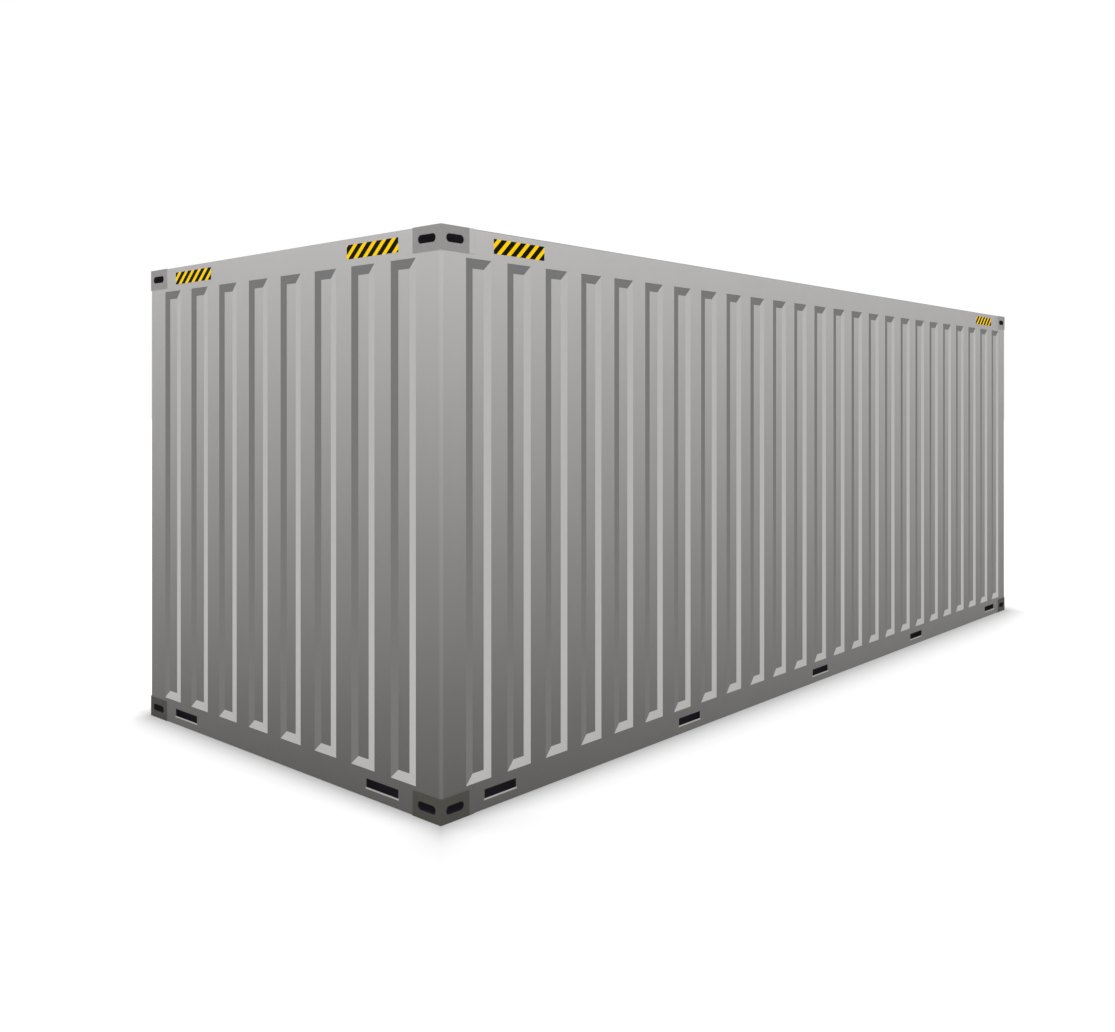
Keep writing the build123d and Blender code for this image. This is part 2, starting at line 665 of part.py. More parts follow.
with BuildPart() as cam_keepers:
    with BuildSketch(Plane.XY.offset(POST_BOTTOM)):
        with Locations([(KEEPER_X, y) for y in ROD_PLACES]):
            Rectangle(KEEPER_DEPTH, KEEPER_WIDTH)
    extrude(amount=KEEPER_BASE)
    with BuildSketch(Plane.XY.offset(POST_BOTTOM + KEEPER_BASE)):
        with Locations([(KEEPER_X, y) for y in ROD_PLACES]):
            with GridLocations(0, KEEPER_LUG_SPACING, 1, 2):
                Rectangle(KEEPER_DEPTH, KEEPER_WALL)
    extrude(amount=KEEPER_HEIGHT)
    lug_tops = cam_keepers.faces().sort_by(Axis.Z)[-2 * len(ROD_PLACES):]
    chamfer(lug_tops.edges().filter_by(Axis.Y).group_by(Axis.X)[-1], length=KEEPER_CORNER)
    mirror(about=MID_HEIGHT)

save(cam_keepers, "cam_keepers")


# Handles: a flat bar between each rod's ears, cranked towards the leaf and held in its catch
CATCH_OFFSET = DOOR_GROOVE_PITCH + CATCH_SHIFT
HANDLE_START = ROD_RADIUS + ROD_CLEARANCE
HANDLE_REACH = CATCH_OFFSET + CATCH_WIDTH / 2 + HANDLE_TIP
BAR_FRONT = HANDLE_BAR_THICKNESS / 2
BAR_BACK = -HANDLE_BAR_THICKNESS / 2

with BuildSketch() as bar:
    with BuildLine():
        Polyline(
            (BAR_FRONT, -HANDLE_START),
            (BAR_FRONT, -HANDLE_JOG_START),
            (BAR_FRONT - HANDLE_JOG, -HANDLE_JOG_END),
            (BAR_FRONT - HANDLE_JOG, -HANDLE_REACH),
            (BAR_BACK - HANDLE_JOG, -HANDLE_REACH),
            (BAR_BACK - HANDLE_JOG, -HANDLE_JOG_END),
            (BAR_BACK, -HANDLE_JOG_START),
            (BAR_BACK, -HANDLE_START),
            close=True,
        )
    make_face()

with BuildPart() as handles:
    for y, z in ((-ROD_INNER_Y, INNER_HANDLE_Z), (-ROD_OUTER_Y, OUTER_HANDLE_Z)):
        with BuildSketch(Plane.XY.offset(z - HANDLE_BAR_HEIGHT / 2)):
            with Locations((ROD_X, y)):
                add(bar.sketch)
        extrude(amount=HANDLE_BAR_HEIGHT)

save(handles, "handles_left")
save_mirrored(handles, ACROSS, "handles_right")


# Handle catches: a plate on the leaf with a jaw that closes round the end of each bar
BAR_RISE = ROD_STANDOFF - HANDLE_JOG + BAR_FRONT + ROD_CLEARANCE
BAR_HALF_HEIGHT = HANDLE_BAR_HEIGHT / 2 + ROD_CLEARANCE
CATCH_RISE = BAR_RISE + CATCH_WALL
JAW_HALF_HEIGHT = BAR_HALF_HEIGHT + CATCH_WALL

with BuildSketch() as jaw:
    with Locations((CATCH_WALL / 2, 0)):
        Rectangle(CATCH_WALL, CATCH_HEIGHT)
    with Locations((CATCH_RISE / 2, 0)):
        Rectangle(CATCH_RISE, 2 * JAW_HALF_HEIGHT)
    with Locations(((CATCH_WALL + BAR_RISE) / 2, 0)):
        Rectangle(BAR_RISE - CATCH_WALL, 2 * BAR_HALF_HEIGHT, mode=Mode.SUBTRACT)
    with Locations((CATCH_RISE - CATCH_WALL / 2, 0)):
        Rectangle(CATCH_WALL, CATCH_MOUTH, mode=Mode.SUBTRACT)

with BuildPart() as handle_catches:
    for side in (-1, 1):
        for rod_y, z in ((ROD_INNER_Y, INNER_HANDLE_Z), (ROD_OUTER_Y, OUTER_HANDLE_Z)):
            with BuildSketch(Plane.XZ.offset(-side * (rod_y + CATCH_OFFSET))):
                with Locations((LEAF_FRONT, z)):
                    add(jaw.sketch)
            extrude(amount=CATCH_WIDTH / 2, both=True)

save(handle_catches, "handle_catches")


# Hinges: a blade on the leaf with a round eye, held between two lugs on the post
HINGE_X = LEAF_FRONT + HINGE_EYE_CLEARANCE + HINGE_EYE_RADIUS
LUG_SEAT = LEFT_Y + DOOR_LIP
HINGE_Y = LUG_SEAT + HINGE_LUG_GAP + HINGE_EYE_RADIUS
LUG_REACH = HINGE_LUG_GAP + 2 * HINGE_EYE_RADIUS
LUG_OFFSET = (HINGE_EYE_HEIGHT + HINGE_LUG_HEIGHT) / 2 + HINGE_LUG_GAP

with BuildPart() as hinges:
    for hinge_height in HINGE_HEIGHTS:
        with BuildSketch(Plane.XY.offset(hinge_height - HINGE_EYE_HEIGHT / 2)):
            with Locations((HINGE_X, HINGE_Y)):
                Circle(HINGE_EYE_RADIUS)
            with Locations((LEAF_FRONT + HINGE_BLADE_THICKNESS / 2, HINGE_Y + HINGE_BLADE_LENGTH / 2)):
                Rectangle(HINGE_BLADE_THICKNESS, HINGE_BLADE_LENGTH)
        extrude(amount=HINGE_EYE_HEIGHT)
        for lug_height in (hinge_height - LUG_OFFSET, hinge_height + LUG_OFFSET):
            with BuildSketch(Plane.XY.offset(lug_height - HINGE_LUG_HEIGHT / 2)) as lug:
                with Locations((HINGE_X, LUG_SEAT + LUG_REACH / 2)):
                    Rectangle(2 * HINGE_EYE_RADIUS, LUG_REACH)
                chamfer(lug.vertices().sort_by(Axis.Y)[-2:], length=HINGE_LUG_CORNER)
            extrude(amount=HINGE_LUG_HEIGHT)

save(hinges, "hinges_left")
save_mirrored(hinges, ACROSS, "hinges_right")
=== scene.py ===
"""Looks of a twenty foot shipping container: paint with painted light and shade, stripes, welds,
fastenings and studio.
"""

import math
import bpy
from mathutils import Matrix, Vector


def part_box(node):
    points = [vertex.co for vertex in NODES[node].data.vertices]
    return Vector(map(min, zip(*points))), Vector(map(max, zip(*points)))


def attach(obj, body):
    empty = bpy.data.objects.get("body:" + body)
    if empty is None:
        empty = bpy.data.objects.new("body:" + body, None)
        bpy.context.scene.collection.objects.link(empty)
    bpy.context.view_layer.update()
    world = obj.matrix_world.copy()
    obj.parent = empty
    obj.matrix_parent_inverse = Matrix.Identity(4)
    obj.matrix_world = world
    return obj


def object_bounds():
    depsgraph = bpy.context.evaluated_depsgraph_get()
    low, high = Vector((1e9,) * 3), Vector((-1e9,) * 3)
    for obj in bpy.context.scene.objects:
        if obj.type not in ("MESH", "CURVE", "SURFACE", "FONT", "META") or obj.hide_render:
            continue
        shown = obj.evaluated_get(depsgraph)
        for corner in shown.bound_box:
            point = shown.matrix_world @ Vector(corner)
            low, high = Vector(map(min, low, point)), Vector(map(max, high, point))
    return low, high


bl_info = {
    "name": "Shipping Container",
    "version": (1, 0, 0),
    "blender": (4, 5, 0),
    "location": "3D View > Sidebar > Container",
    "description": "Paints and details a steel freight container and sets it in a plain studio",
    "category": "Object",
}

import bmesh
import bpy
from bpy.props import FloatProperty, FloatVectorProperty, PointerProperty
from bpy.types import Operator, Panel, PropertyGroup
from mathutils import Matrix, Vector

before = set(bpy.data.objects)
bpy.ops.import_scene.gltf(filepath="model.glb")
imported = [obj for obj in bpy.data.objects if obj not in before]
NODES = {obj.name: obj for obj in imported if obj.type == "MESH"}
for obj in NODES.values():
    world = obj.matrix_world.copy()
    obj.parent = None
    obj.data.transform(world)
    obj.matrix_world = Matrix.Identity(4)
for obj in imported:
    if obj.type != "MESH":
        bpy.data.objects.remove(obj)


def plain_bounds():
    """The whole object's box as two lists of numbers."""
    return [[float(value) for value in corner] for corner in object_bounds()]


CAD_BOX = plain_bounds()

# Faces and heights of the container, read from the frame
HALF_LENGTH, HALF_WIDTH, HEIGHT = CAD_BOX[1]
SIDE_FACE = -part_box("side_panel_left")[0].y
END_FACE = -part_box("front_panel")[0].x
RAIL_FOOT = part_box("bottom_rail_left")[0].z
RAIL_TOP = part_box("bottom_rail_left")[1].z

# Points of one mesh that are closer than this are one point
MERGE = 0.00001

# The walls: the turn about Z that brings the left wall's place to each, and the distance outwards
WALLS = {
    "left": (0.0, SIDE_FACE),
    "front": (-math.pi / 2, END_FACE),
    "right": (math.pi, SIDE_FACE),
    "door": (math.pi / 2, END_FACE),
}


def wall_vector(wall, along, out, up):
    """A direction given along a wall, out of it and upwards, in the frame's axes."""
    return Matrix.Rotation(WALLS[wall][0], 3, "Z") @ Vector((along, -out, up))


# Settings that a user would change


class PaintSettings(PropertyGroup):
    """Colours of the finishes and of their painted light and shade, as scene-linear values."""

    # Wall paint with painted shade by height: pale at the roof and dark at the ground
    top: FloatVectorProperty(
        name="Paint at the roof", description="Wall paint at full height", subtype="COLOR",
        default=(0.477, 0.471, 0.461), min=0.0, max=1.0,
    )
    upper: FloatVectorProperty(
        name="Paint above the middle", description="Wall paint at seven tenths of the height",
        subtype="COLOR", default=(0.339, 0.335, 0.329), min=0.0, max=1.0,
    )
    middle: FloatVectorProperty(
        name="Paint at the middle", description="Wall paint just under the middle", subtype="COLOR",
        default=(0.239, 0.236, 0.232), min=0.0, max=1.0,
    )
    lower: FloatVectorProperty(
        name="Paint below the middle", description="Wall paint at a fifth of the height",
        subtype="COLOR", default=(0.159, 0.156, 0.153), min=0.0, max=1.0,
    )
    bottom: FloatVectorProperty(
        name="Paint at the ground", description="Wall paint at the bottom rails", subtype="COLOR",
        default=(0.126, 0.122, 0.116), min=0.0, max=1.0,
    )
    # Painted light on groove flanks that face left or up, painted shade on those that face right or
    # down
    painted_light_fold: FloatVectorProperty(
        name="Light fold", description="Groove flanks that face left or up", subtype="COLOR",
        default=(0.455, 0.450, 0.4395), min=0.0, max=1.0,
    )
    painted_shade_fold: FloatVectorProperty(
        name="Dark fold", description="Groove flanks that face right or down", subtype="COLOR",
        default=(0.178, 0.178, 0.177), min=0.0, max=1.0,
    )
    # The fittings' darker paint, with painted shade: paler at the roof than at the ground
    top_casting: FloatVectorProperty(
        name="Top fittings", description="Paint of the corner fittings at the roof",
        subtype="COLOR", default=(0.288, 0.281, 0.275), min=0.0, max=1.0,
    )
    bottom_casting: FloatVectorProperty(
        name="Bottom fittings", description="Paint of the corner fittings at the ground",
        subtype="COLOR", default=(0.078, 0.076, 0.067), min=0.0, max=1.0,
    )
    # Painted shade inside holes and slots, which also gives their painted glow its colour
    hollow: FloatVectorProperty(
        name="Hollows", description="Unlit insides of holes and slots", subtype="COLOR",
        default=(0.0103, 0.0091, 0.0116), min=0.0, max=1.0,
    )
    # Painted highlight on the lip under each slot
    slot_lip_highlight: FloatVectorProperty(
        name="Slot lips", description="Bare edge under each slot", subtype="COLOR",
        default=(0.434, 0.430, 0.418), min=0.0, max=1.0,
    )
    stripe_yellow: FloatVectorProperty(
        name="Warning yellow", description="Light stripes of the warning patches", subtype="COLOR",
        default=(1.0, 0.640, 0.0), min=0.0, max=1.0,
    )
    stripe_black: FloatVectorProperty(
        name="Warning black", description="Dark stripes of the warning patches", subtype="COLOR",
        default=(0.006, 0.0055, 0.007), min=0.0, max=1.0,
    )


class PatchSettings(PropertyGroup):
    """Sizes of the striped warning patches."""

    drop: FloatProperty(
        name="Drop", description="From the container's top to a patch's top", default=0.029,
        min=0.0, subtype="DISTANCE", unit="LENGTH",
    )
    height: FloatProperty(
        name="Height", description="Height of a patch", default=0.063, min=0.01, unit="LENGTH",
    )
    thickness: FloatProperty(
        name="Thickness", description="Thickness of the film", default=0.0006, min=0.0001,
        unit="LENGTH",
    )
    side_length: FloatProperty(
        name="Side length", description="Length of a patch on a long side", default=0.305, min=0.05,
        unit="LENGTH",
    )
    side_inset: FloatProperty(
        name="Side inset", description="From the corner to a patch on a long side", default=0.292,
        min=0.0, unit="LENGTH",
    )
    end_length: FloatProperty(
        name="End length", description="Length of a patch on an end", default=0.361, min=0.05,
        unit="LENGTH",
    )
    end_inset: FloatProperty(
        name="End inset", description="From the corner to a patch on an end", default=0.277,
        min=0.0, unit="LENGTH",
    )
    side_pitch: FloatProperty(
        name="Side pitch", description="Spacing of the stripes on a long side", default=0.0573,
        min=0.01, unit="LENGTH",
    )
    end_pitch: FloatProperty(
        name="End pitch", description="Spacing of the stripes on an end", default=0.0674, min=0.01,
        unit="LENGTH",
    )
    yellow_share: FloatProperty(
        name="Yellow share", description="Share of the spacing that a yellow stripe fills",
        default=0.43, min=0.05, max=0.95, subtype="FACTOR",
    )
    side_lean: FloatProperty(
        name="Side lean", description="How far a stripe on a long side leans right, foot to top",
        default=0.062, min=0.0, unit="LENGTH",
    )
    end_lean: FloatProperty(
        name="End lean", description="How far a stripe on an end leans right, foot to top",
        default=0.070, min=0.0, unit="LENGTH",
    )


class StageSettings(PropertyGroup):
    """The studio: lamps, floor and camera."""

    sky: FloatProperty(
        name="Sky", description="Strength of the even light from all round", default=0.72, min=0.0,
    )
    lamps: FloatProperty(
        name="Lamps", description="Strength of each of the four soft lamps", default=0.62, min=0.0,
    )
    lamp_turn: FloatProperty(
        name="Lamp turn", description="How far each lamp stands to the left of its wall",
        default=math.radians(62), subtype="ANGLE", unit="ROTATION",
    )
    lamp_rise: FloatProperty(
        name="Lamp rise", description="How high each lamp stands", default=math.radians(38),
        subtype="ANGLE", unit="ROTATION",
    )
    lamp_softness: FloatProperty(
        name="Lamp softness", description="How wide each lamp is in the sky",
        default=math.radians(40), subtype="ANGLE", unit="ROTATION",
    )
    floor_reach: FloatProperty(
        name="Floor reach", description="How far the floor runs from the middle", default=120.0,
        unit="LENGTH",
    )
    camera_lens: FloatProperty(
        name="Lens", description="Focal length in millimetres", default=34.861, min=1.0,
        unit="CAMERA",
    )
    camera_shift: FloatVectorProperty(
        name="Shift", description="Lens shift across and up", size=2, default=(-0.0605, -0.0991),
    )
    camera_place: FloatVectorProperty(
        name="Camera place", description="Eye point", size=3, default=(-5.88377, -4.60107, 1.70086),
        subtype="XYZ", unit="LENGTH",
    )
    camera_turn: FloatProperty(
        name="Camera turn", description="Heading about the vertical axis",
        default=math.radians(-49.842), subtype="ANGLE", unit="ROTATION",
    )


# Material recipes

# Strength of the painted glow: the paint inside holes and slots gives off a faint even light
PAINTED_GLOW_STRENGTH = 0.75

# Most values of a noise pattern lie between these
NOISE_LOW = 0.3
NOISE_HIGH = 0.7


class Recipe:
    """A material under construction: adds nodes and joins them."""

    def __init__(self, name, roughness, specular=0.02, metallic=0.0):
        self.material = bpy.data.materials.new(name)
        self.material.use_nodes = True
        self.tree = self.material.node_tree
        self.tree.nodes.clear()
        output = self.tree.nodes.new("ShaderNodeOutputMaterial")
        self.shader = self.tree.nodes.new("ShaderNodeBsdfPrincipled")
        self.shader.inputs["Specular IOR Level"].default_value = specular
        self.shader.inputs["Roughness"].default_value = roughness
        self.shader.inputs["Metallic"].default_value = metallic
        self.join(self.shader.outputs["BSDF"], output.inputs["Surface"])
        place = self.tree.nodes.new("ShaderNodeTexCoord")
        self.place = place.outputs["Object"]
        self.normal = place.outputs["Normal"]
        self.x, self.y, self.z = self.split(self.place)

    def join(self, output, socket):
        """Link an output to an input."""
        self.tree.links.new(output, socket)

    def feed(self, socket, value):
        """Put a number, a colour or another node's output into an input."""
        if isinstance(value, bpy.types.NodeSocket):
            self.join(value, socket)
        elif isinstance(value, (int, float)):
            socket.default_value = value
        else:
            size = len(socket.default_value)
            socket.default_value = (*value, 1.0)[:size]

    def split(self, vector):
        """The three parts of a vector."""
        node = self.tree.nodes.new("ShaderNodeSeparateXYZ")
        self.feed(node.inputs[0], vector)
        return node.outputs["X"], node.outputs["Y"], node.outputs["Z"]

    def math(self, operation, first, second=0.0, third=0.0, clamp=False):
        """One step of arithmetic."""
        node = self.tree.nodes.new("ShaderNodeMath")
        node.operation = operation
        node.use_clamp = clamp
        for socket, value in zip(node.inputs, (first, second, third)):
            self.feed(socket, value)
        return node.outputs[0]

    def every(self, *tests):
        """One where every test gives one."""
        answer = tests[0]
        for test in tests[1:]:
            answer = self.math("MULTIPLY", answer, test)
        return answer

    def dot(self, vector, direction):
        """How far a vector goes in a fixed direction."""
        node = self.tree.nodes.new("ShaderNodeVectorMath")
        node.operation = "DOT_PRODUCT"
        self.feed(node.inputs[0], vector)
        node.inputs[1].default_value = direction
        return node.outputs["Value"]

    def fade(self, value, start, end, low=0.0, high=1.0):
        """Smoothly from low to high while the value goes from start to end."""
        node = self.tree.nodes.new("ShaderNodeMapRange")
        node.interpolation_type = "SMOOTHSTEP"
        for socket, number in zip(node.inputs, (value, start, end, low, high)):
            self.feed(socket, number)
        return node.outputs[0]

    def uneven(self, pattern, low, high):
        """Between two values, as a noise pattern goes from low to high."""
        return self.fade(pattern, NOISE_LOW, NOISE_HIGH, low, high)

    def mix(self, factor, first, second, kind="MIX"):
        """One colour over another."""
        node = self.tree.nodes.new("ShaderNodeMix")
        node.data_type = "RGBA"
        node.blend_type = kind
        self.feed(node.inputs["Factor"], factor)
        self.feed(node.inputs[6], first)
        self.feed(node.inputs[7], second)
        return node.outputs[2]

    def ramp(self, value, stops):
        """Colours by place along a line."""
        node = self.tree.nodes.new("ShaderNodeValToRGB")
        node.color_ramp.interpolation = "LINEAR"
        elements = node.color_ramp.elements
        while len(elements) < len(stops):
            elements.new(0.5)
        for element, (position, colour) in zip(elements, stops):
            element.position = position
            element.color = (*colour, 1.0)
        self.feed(node.inputs[0], value)
        return node.outputs[0]

    def noise(self, scale, stretch=(1.0, 1.0, 1.0), detail=3.0, roughness=0.5):
        """A grey pattern, finer with a larger scale and stretched along each axis."""
        mapping = self.tree.nodes.new("ShaderNodeMapping")
        self.feed(mapping.inputs["Vector"], self.place)
        mapping.inputs["Scale"].default_value = stretch
        node = self.tree.nodes.new("ShaderNodeTexNoise")
        self.feed(node.inputs["Vector"], mapping.outputs[0])
        node.inputs["Scale"].default_value = scale
        node.inputs["Detail"].default_value = detail
        node.inputs["Roughness"].default_value = roughness
        return node.outputs[0]

    def relief(self, height, strength, distance):
        """Fine relief on the surface."""
        node = self.tree.nodes.new("ShaderNodeBump")
        node.inputs["Strength"].default_value = strength
        node.inputs["Distance"].default_value = distance
        self.feed(node.inputs["Height"], height)
        self.join(node.outputs[0], self.shader.inputs["Normal"])

    def colour(self, value):
        """The surface's colour."""
        self.feed(self.shader.inputs["Base Color"], value)

    def roughness(self, value):
        """The surface's roughness, where it varies."""
        self.feed(self.shader.inputs["Roughness"], value)

    def painted_glow(self, where, tone):
        """A painted glow: the paint gives off a faint even light, so that a hollow is as dark all
        over and never quite black.
        """
        self.feed(self.shader.inputs["Emission Color"], self.mix(where, (0.0, 0.0, 0.0), tone))
        self.shader.inputs["Emission Strength"].default_value = PAINTED_GLOW_STRENGTH


# Painted shade by height: how it softens away from the closed end's left corner, with painted light
# half way along and painted shade towards the doors
LEVEL_HEIGHT = 1.70
DOOR_SOFTENING = 0.175
MIDDLE_SOFTENING = 0.40
RIGHT_SOFTENING = 0.148
LEAST_SOFTENING = 0.5
MIDDLE_PAINTED_LIGHT = 0.12
DOOR_PAINTED_SHADE = 0.039
PAINT_STOPS = (0.05, 0.20, 0.45, 0.70, 0.99)
BLOTCH_WANDER = 0.08
STREAK_WANDER = 0.04

# Folds of the pressed sheets: how far they lean, where their painted light and shade start and are
# full, and how much lighter it is painted near the ground
SHEET = 0.002
GROOVE_FLANK = 0.0415
GROOVE_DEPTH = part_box("side_panel_left")[1].y + SIDE_FACE - SHEET
FOLD_LEAN = GROOVE_DEPTH / math.hypot(GROOVE_DEPTH, GROOVE_FLANK)
FOLD_START = 0.25
FOLD_FULL = 0.75
PALE_FOLD_LIFT = 1.10
DARK_FOLD_LIFT = 1.07
FOLD_LIFT_TOP = 1.6


def run_and_middle(recipe):
    """The share of the way to the doors, and a hump that is highest half way there."""
    gone = recipe.math("ADD", recipe.x, HALF_LENGTH)
    run = recipe.math("DIVIDE", gone, 2 * HALF_LENGTH, clamp=True)
    return run, recipe.math("MULTIPLY", run, recipe.math("SUBTRACT", 1.0, run))


def softening(recipe):
    """How much softer the painted shade, shadow and highlight are than at the closed end's left
    corner.
    """
    middle = run_and_middle(recipe)[1]
    along = recipe.math("MULTIPLY", recipe.math("ADD", recipe.x, HALF_LENGTH), DOOR_SOFTENING)
    along = recipe.math("MULTIPLY_ADD", middle, MIDDLE_SOFTENING, along)
    across = recipe.math("MULTIPLY", recipe.math("ADD", recipe.y, HALF_WIDTH), RIGHT_SOFTENING)
    softer = recipe.math("ADD", recipe.math("ADD", along, across), 1.0)
    return recipe.math("MAXIMUM", softer, LEAST_SOFTENING)


def paint_with_painted_shade(recipe, paint):
    """The wall paint with painted shade: pale at the roof and dark at the ground, painted lighter
    half way along and darker towards the doors, with faint blotches and streaks.
    """
    above = recipe.math("SUBTRACT", recipe.z, LEVEL_HEIGHT)
    height = recipe.math("ADD", recipe.math("DIVIDE", above, softening(recipe)), LEVEL_HEIGHT)
    blotch = recipe.math("SUBTRACT", recipe.noise(1.3, detail=4.0), 0.5)
    streak = recipe.math("SUBTRACT", recipe.noise(14.0, stretch=(1.0, 1.0, 0.06), detail=2.0), 0.5)
    wander = recipe.math("MULTIPLY", blotch, BLOTCH_WANDER)
    wander = recipe.math("MULTIPLY_ADD", streak, STREAK_WANDER, wander)
    share = recipe.math("DIVIDE", recipe.math("ADD", height, wander), HEIGHT, clamp=True)
    tones = (paint.bottom, paint.lower, paint.middle, paint.upper, paint.top)
    graded = recipe.ramp(share, list(zip(PAINT_STOPS, tones)))
    run, middle = run_and_middle(recipe)
    # Painted shade towards the doors and painted light half way along
    lift = recipe.math("MULTIPLY_ADD", run, -DOOR_PAINTED_SHADE, 1.0)
    lift = recipe.math("MULTIPLY_ADD", middle, MIDDLE_PAINTED_LIGHT, lift)
    return recipe.mix(1.0, graded, lift, kind="MULTIPLY")


def paint_surface(recipe):
    """Orange peel and uneven gloss, as sprayed steel has."""
    recipe.relief(recipe.noise(260.0, detail=2.0), strength=0.12, distance=0.0006)
    recipe.roughness(recipe.uneven(recipe.noise(6.0, detail=5.0), 0.55, 0.68))


def wall_paint(name, left, up, paint):
    """Paint of a pressed sheet: painted light on folds that face left or up, painted shade on the
    others, over the painted shade by height.
    """
    recipe = Recipe(name, 0.55)
    lean = recipe.math("DIVIDE", recipe.dot(recipe.normal, tuple(left + up)), FOLD_LEAN)
    flat = paint_with_painted_shade(recipe, paint)
    folds = []
    # The painted light and shade of the folds is painted lighter towards the ground
    for tone, lift in ((paint.painted_light_fold, PALE_FOLD_LIFT), (paint.painted_shade_fold, DARK_FOLD_LIFT)):
        even = recipe.fade(recipe.z, 0.0, FOLD_LIFT_TOP, lift, 1.0)
        folds.append(recipe.mix(1.0, tone, even, kind="MULTIPLY"))
    light, dark = folds
    pale = recipe.mix(recipe.fade(lean, FOLD_START, FOLD_FULL), flat, light)
    recipe.colour(recipe.mix(recipe.fade(lean, -FOLD_FULL, -FOLD_START, 1.0, 0.0), pale, dark))
    paint_surface(recipe)
    return recipe.material


# Painted shade in hollows, painted highlights on slot lips and along the upright corners: where
# they start and how far they go
HOLLOW_START = 0.0012
LIP_START = 0.0002
CORNER_REACH = 0.028
CORNER_GLEAM = 0.080
GLEAM_SHARPNESS = 3.0
GLEAM_FADING = 4.0
CASTING_PAINT_LENGTH = 0.153


def frame_paint(paint):
    """Paint of posts and rails with painted shade by height: a painted highlight towards the
    upright corners and on the slot lips, and painted shade with a painted glow inside the slots.
    """
    recipe = Recipe("frame_paint", 0.55)
    flat = paint_with_painted_shade(recipe, paint)
    across = recipe.math("ABSOLUTE", recipe.y)
    along = recipe.math("ABSOLUTE", recipe.x)
    # Painted highlight along the upright corners, fading away from the closed end's left corner
    past_side = recipe.math("SUBTRACT", SIDE_FACE, across)
    past_end = recipe.math("SUBTRACT", END_FACE, along)
    off_corner = recipe.math("DIVIDE", recipe.math("ADD", past_side, past_end), CORNER_REACH)
    near = recipe.math("SUBTRACT", 1.0, off_corner, clamp=True)
    near = recipe.math("POWER", near, GLEAM_SHARPNESS)
    fading = recipe.math("POWER", softening(recipe), GLEAM_FADING)
    gleam = recipe.math("MULTIPLY", recipe.math("DIVIDE", near, fading), CORNER_GLEAM)
    edged = recipe.mix(1.0, flat, gleam, kind="ADD")
    # Painted shade inside the rails' slots, with a painted glow
    within = recipe.every(
        recipe.math("LESS_THAN", across, SIDE_FACE - HOLLOW_START),
        recipe.math("LESS_THAN", along, END_FACE - HOLLOW_START),
        recipe.math("LESS_THAN", recipe.z, RAIL_TOP - HOLLOW_START),
        recipe.math("GREATER_THAN", recipe.z, RAIL_FOOT + HOLLOW_START),
    )
    hollowed = recipe.mix(within, edged, paint.hollow)
    recipe.painted_glow(within, paint.hollow)
    # Painted highlight on the lips that stand proud of the faces
    proud_side = recipe.math("GREATER_THAN", across, SIDE_FACE + LIP_START)
    proud_end = recipe.math("GREATER_THAN", along, END_FACE + LIP_START)
    lip = recipe.math("MAXIMUM", proud_side, proud_end)
    recipe.colour(recipe.mix(lip, hollowed, paint.slot_lip_highlight))
    paint_surface(recipe)
    return recipe.material


def bead_paint(paint):
    """The same paint, with its painted shade by height, over a weld, with the weld's ripples under
    it.
    """
    recipe = Recipe("bead_paint", 0.6)
    recipe.colour(paint_with_painted_shade(recipe, paint))
    recipe.relief(recipe.noise(240.0, detail=1.0), strength=0.6, distance=0.0012)
    recipe.roughness(recipe.uneven(recipe.noise(90.0), 0.5, 0.7))
    return recipe.material


def casting_paint(paint):
    """Paint of the corner fittings: darker paint with painted shade, paler at the roof than at the
    ground, and painted shade with a painted glow inside.
    """
    recipe = Recipe("casting_paint", 0.6)
    # Painted shade on the fittings: the top ones paler than the bottom ones
    top = recipe.math("GREATER_THAN", recipe.z, HEIGHT / 2)
    fitting = recipe.mix(top, paint.bottom_casting, paint.top_casting)
    grain = recipe.uneven(recipe.noise(40.0, detail=5.0), 0.97, 1.03)
    grained = recipe.mix(1.0, fitting, grain, kind="MULTIPLY")
    along = recipe.math("ABSOLUTE", recipe.x)
    across = recipe.math("ABSOLUTE", recipe.y)
    beyond = recipe.math("LESS_THAN", along, HALF_LENGTH - CASTING_PAINT_LENGTH)
    painted = recipe.mix(beyond, grained, paint_with_painted_shade(recipe, paint))
    # Painted shade inside the fittings, with a painted glow
    from_middle = recipe.math("ABSOLUTE", recipe.math("SUBTRACT", recipe.z, HEIGHT / 2))
    edge_on = recipe.math("SUBTRACT", HEIGHT / 2, from_middle)
    deep = recipe.every(
        recipe.math("LESS_THAN", along, END_FACE - HOLLOW_START),
        recipe.math("LESS_THAN", across, SIDE_FACE - HOLLOW_START),
        recipe.math("GREATER_THAN", edge_on, HOLLOW_START * 2),
        recipe.math("LESS_THAN", edge_on, RAIL_TOP - HOLLOW_START * 2),
    )
    recipe.colour(recipe.mix(deep, painted, paint.hollow))
    recipe.painted_glow(deep, paint.hollow)
    recipe.relief(recipe.noise(170.0, detail=4.0), strength=0.25, distance=0.0012)
    recipe.roughness(recipe.uneven(recipe.noise(25.0), 0.55, 0.7))
    return recipe.material


# Tones of the finishes that have no setting, by place along a pattern where there are more
ZINC_TONES = ((0.25, (0.20, 0.205, 0.21)), (0.75, (0.40, 0.405, 0.41)))
BOLT_TONES = ((NOISE_LOW, (0.30, 0.30, 0.29)), (NOISE_HIGH, (0.50, 0.50, 0.49)))
RUBBER_TONE = (0.012, 0.012, 0.013)
DUST_TONE = (0.035, 0.034, 0.032)
WOOD_TONES = (
    (0.3, (0.10, 0.045, 0.018)), (0.55, (0.21, 0.10, 0.045)), (0.8, (0.30, 0.16, 0.08)),
)
SEAM_TONE = (0.02, 0.012, 0.008)

# Zinc crystals: how fine they are, and their share of the tone beside broad clouds
CRYSTAL_SCALE = 90.0
CRYSTAL_SHARE = 0.25

# Floor boards: the length of one, and where the dark seam starts and is full, from its middle
BOARD = 1.2
SEAM_START = 0.496
SEAM_FULL = 0.499


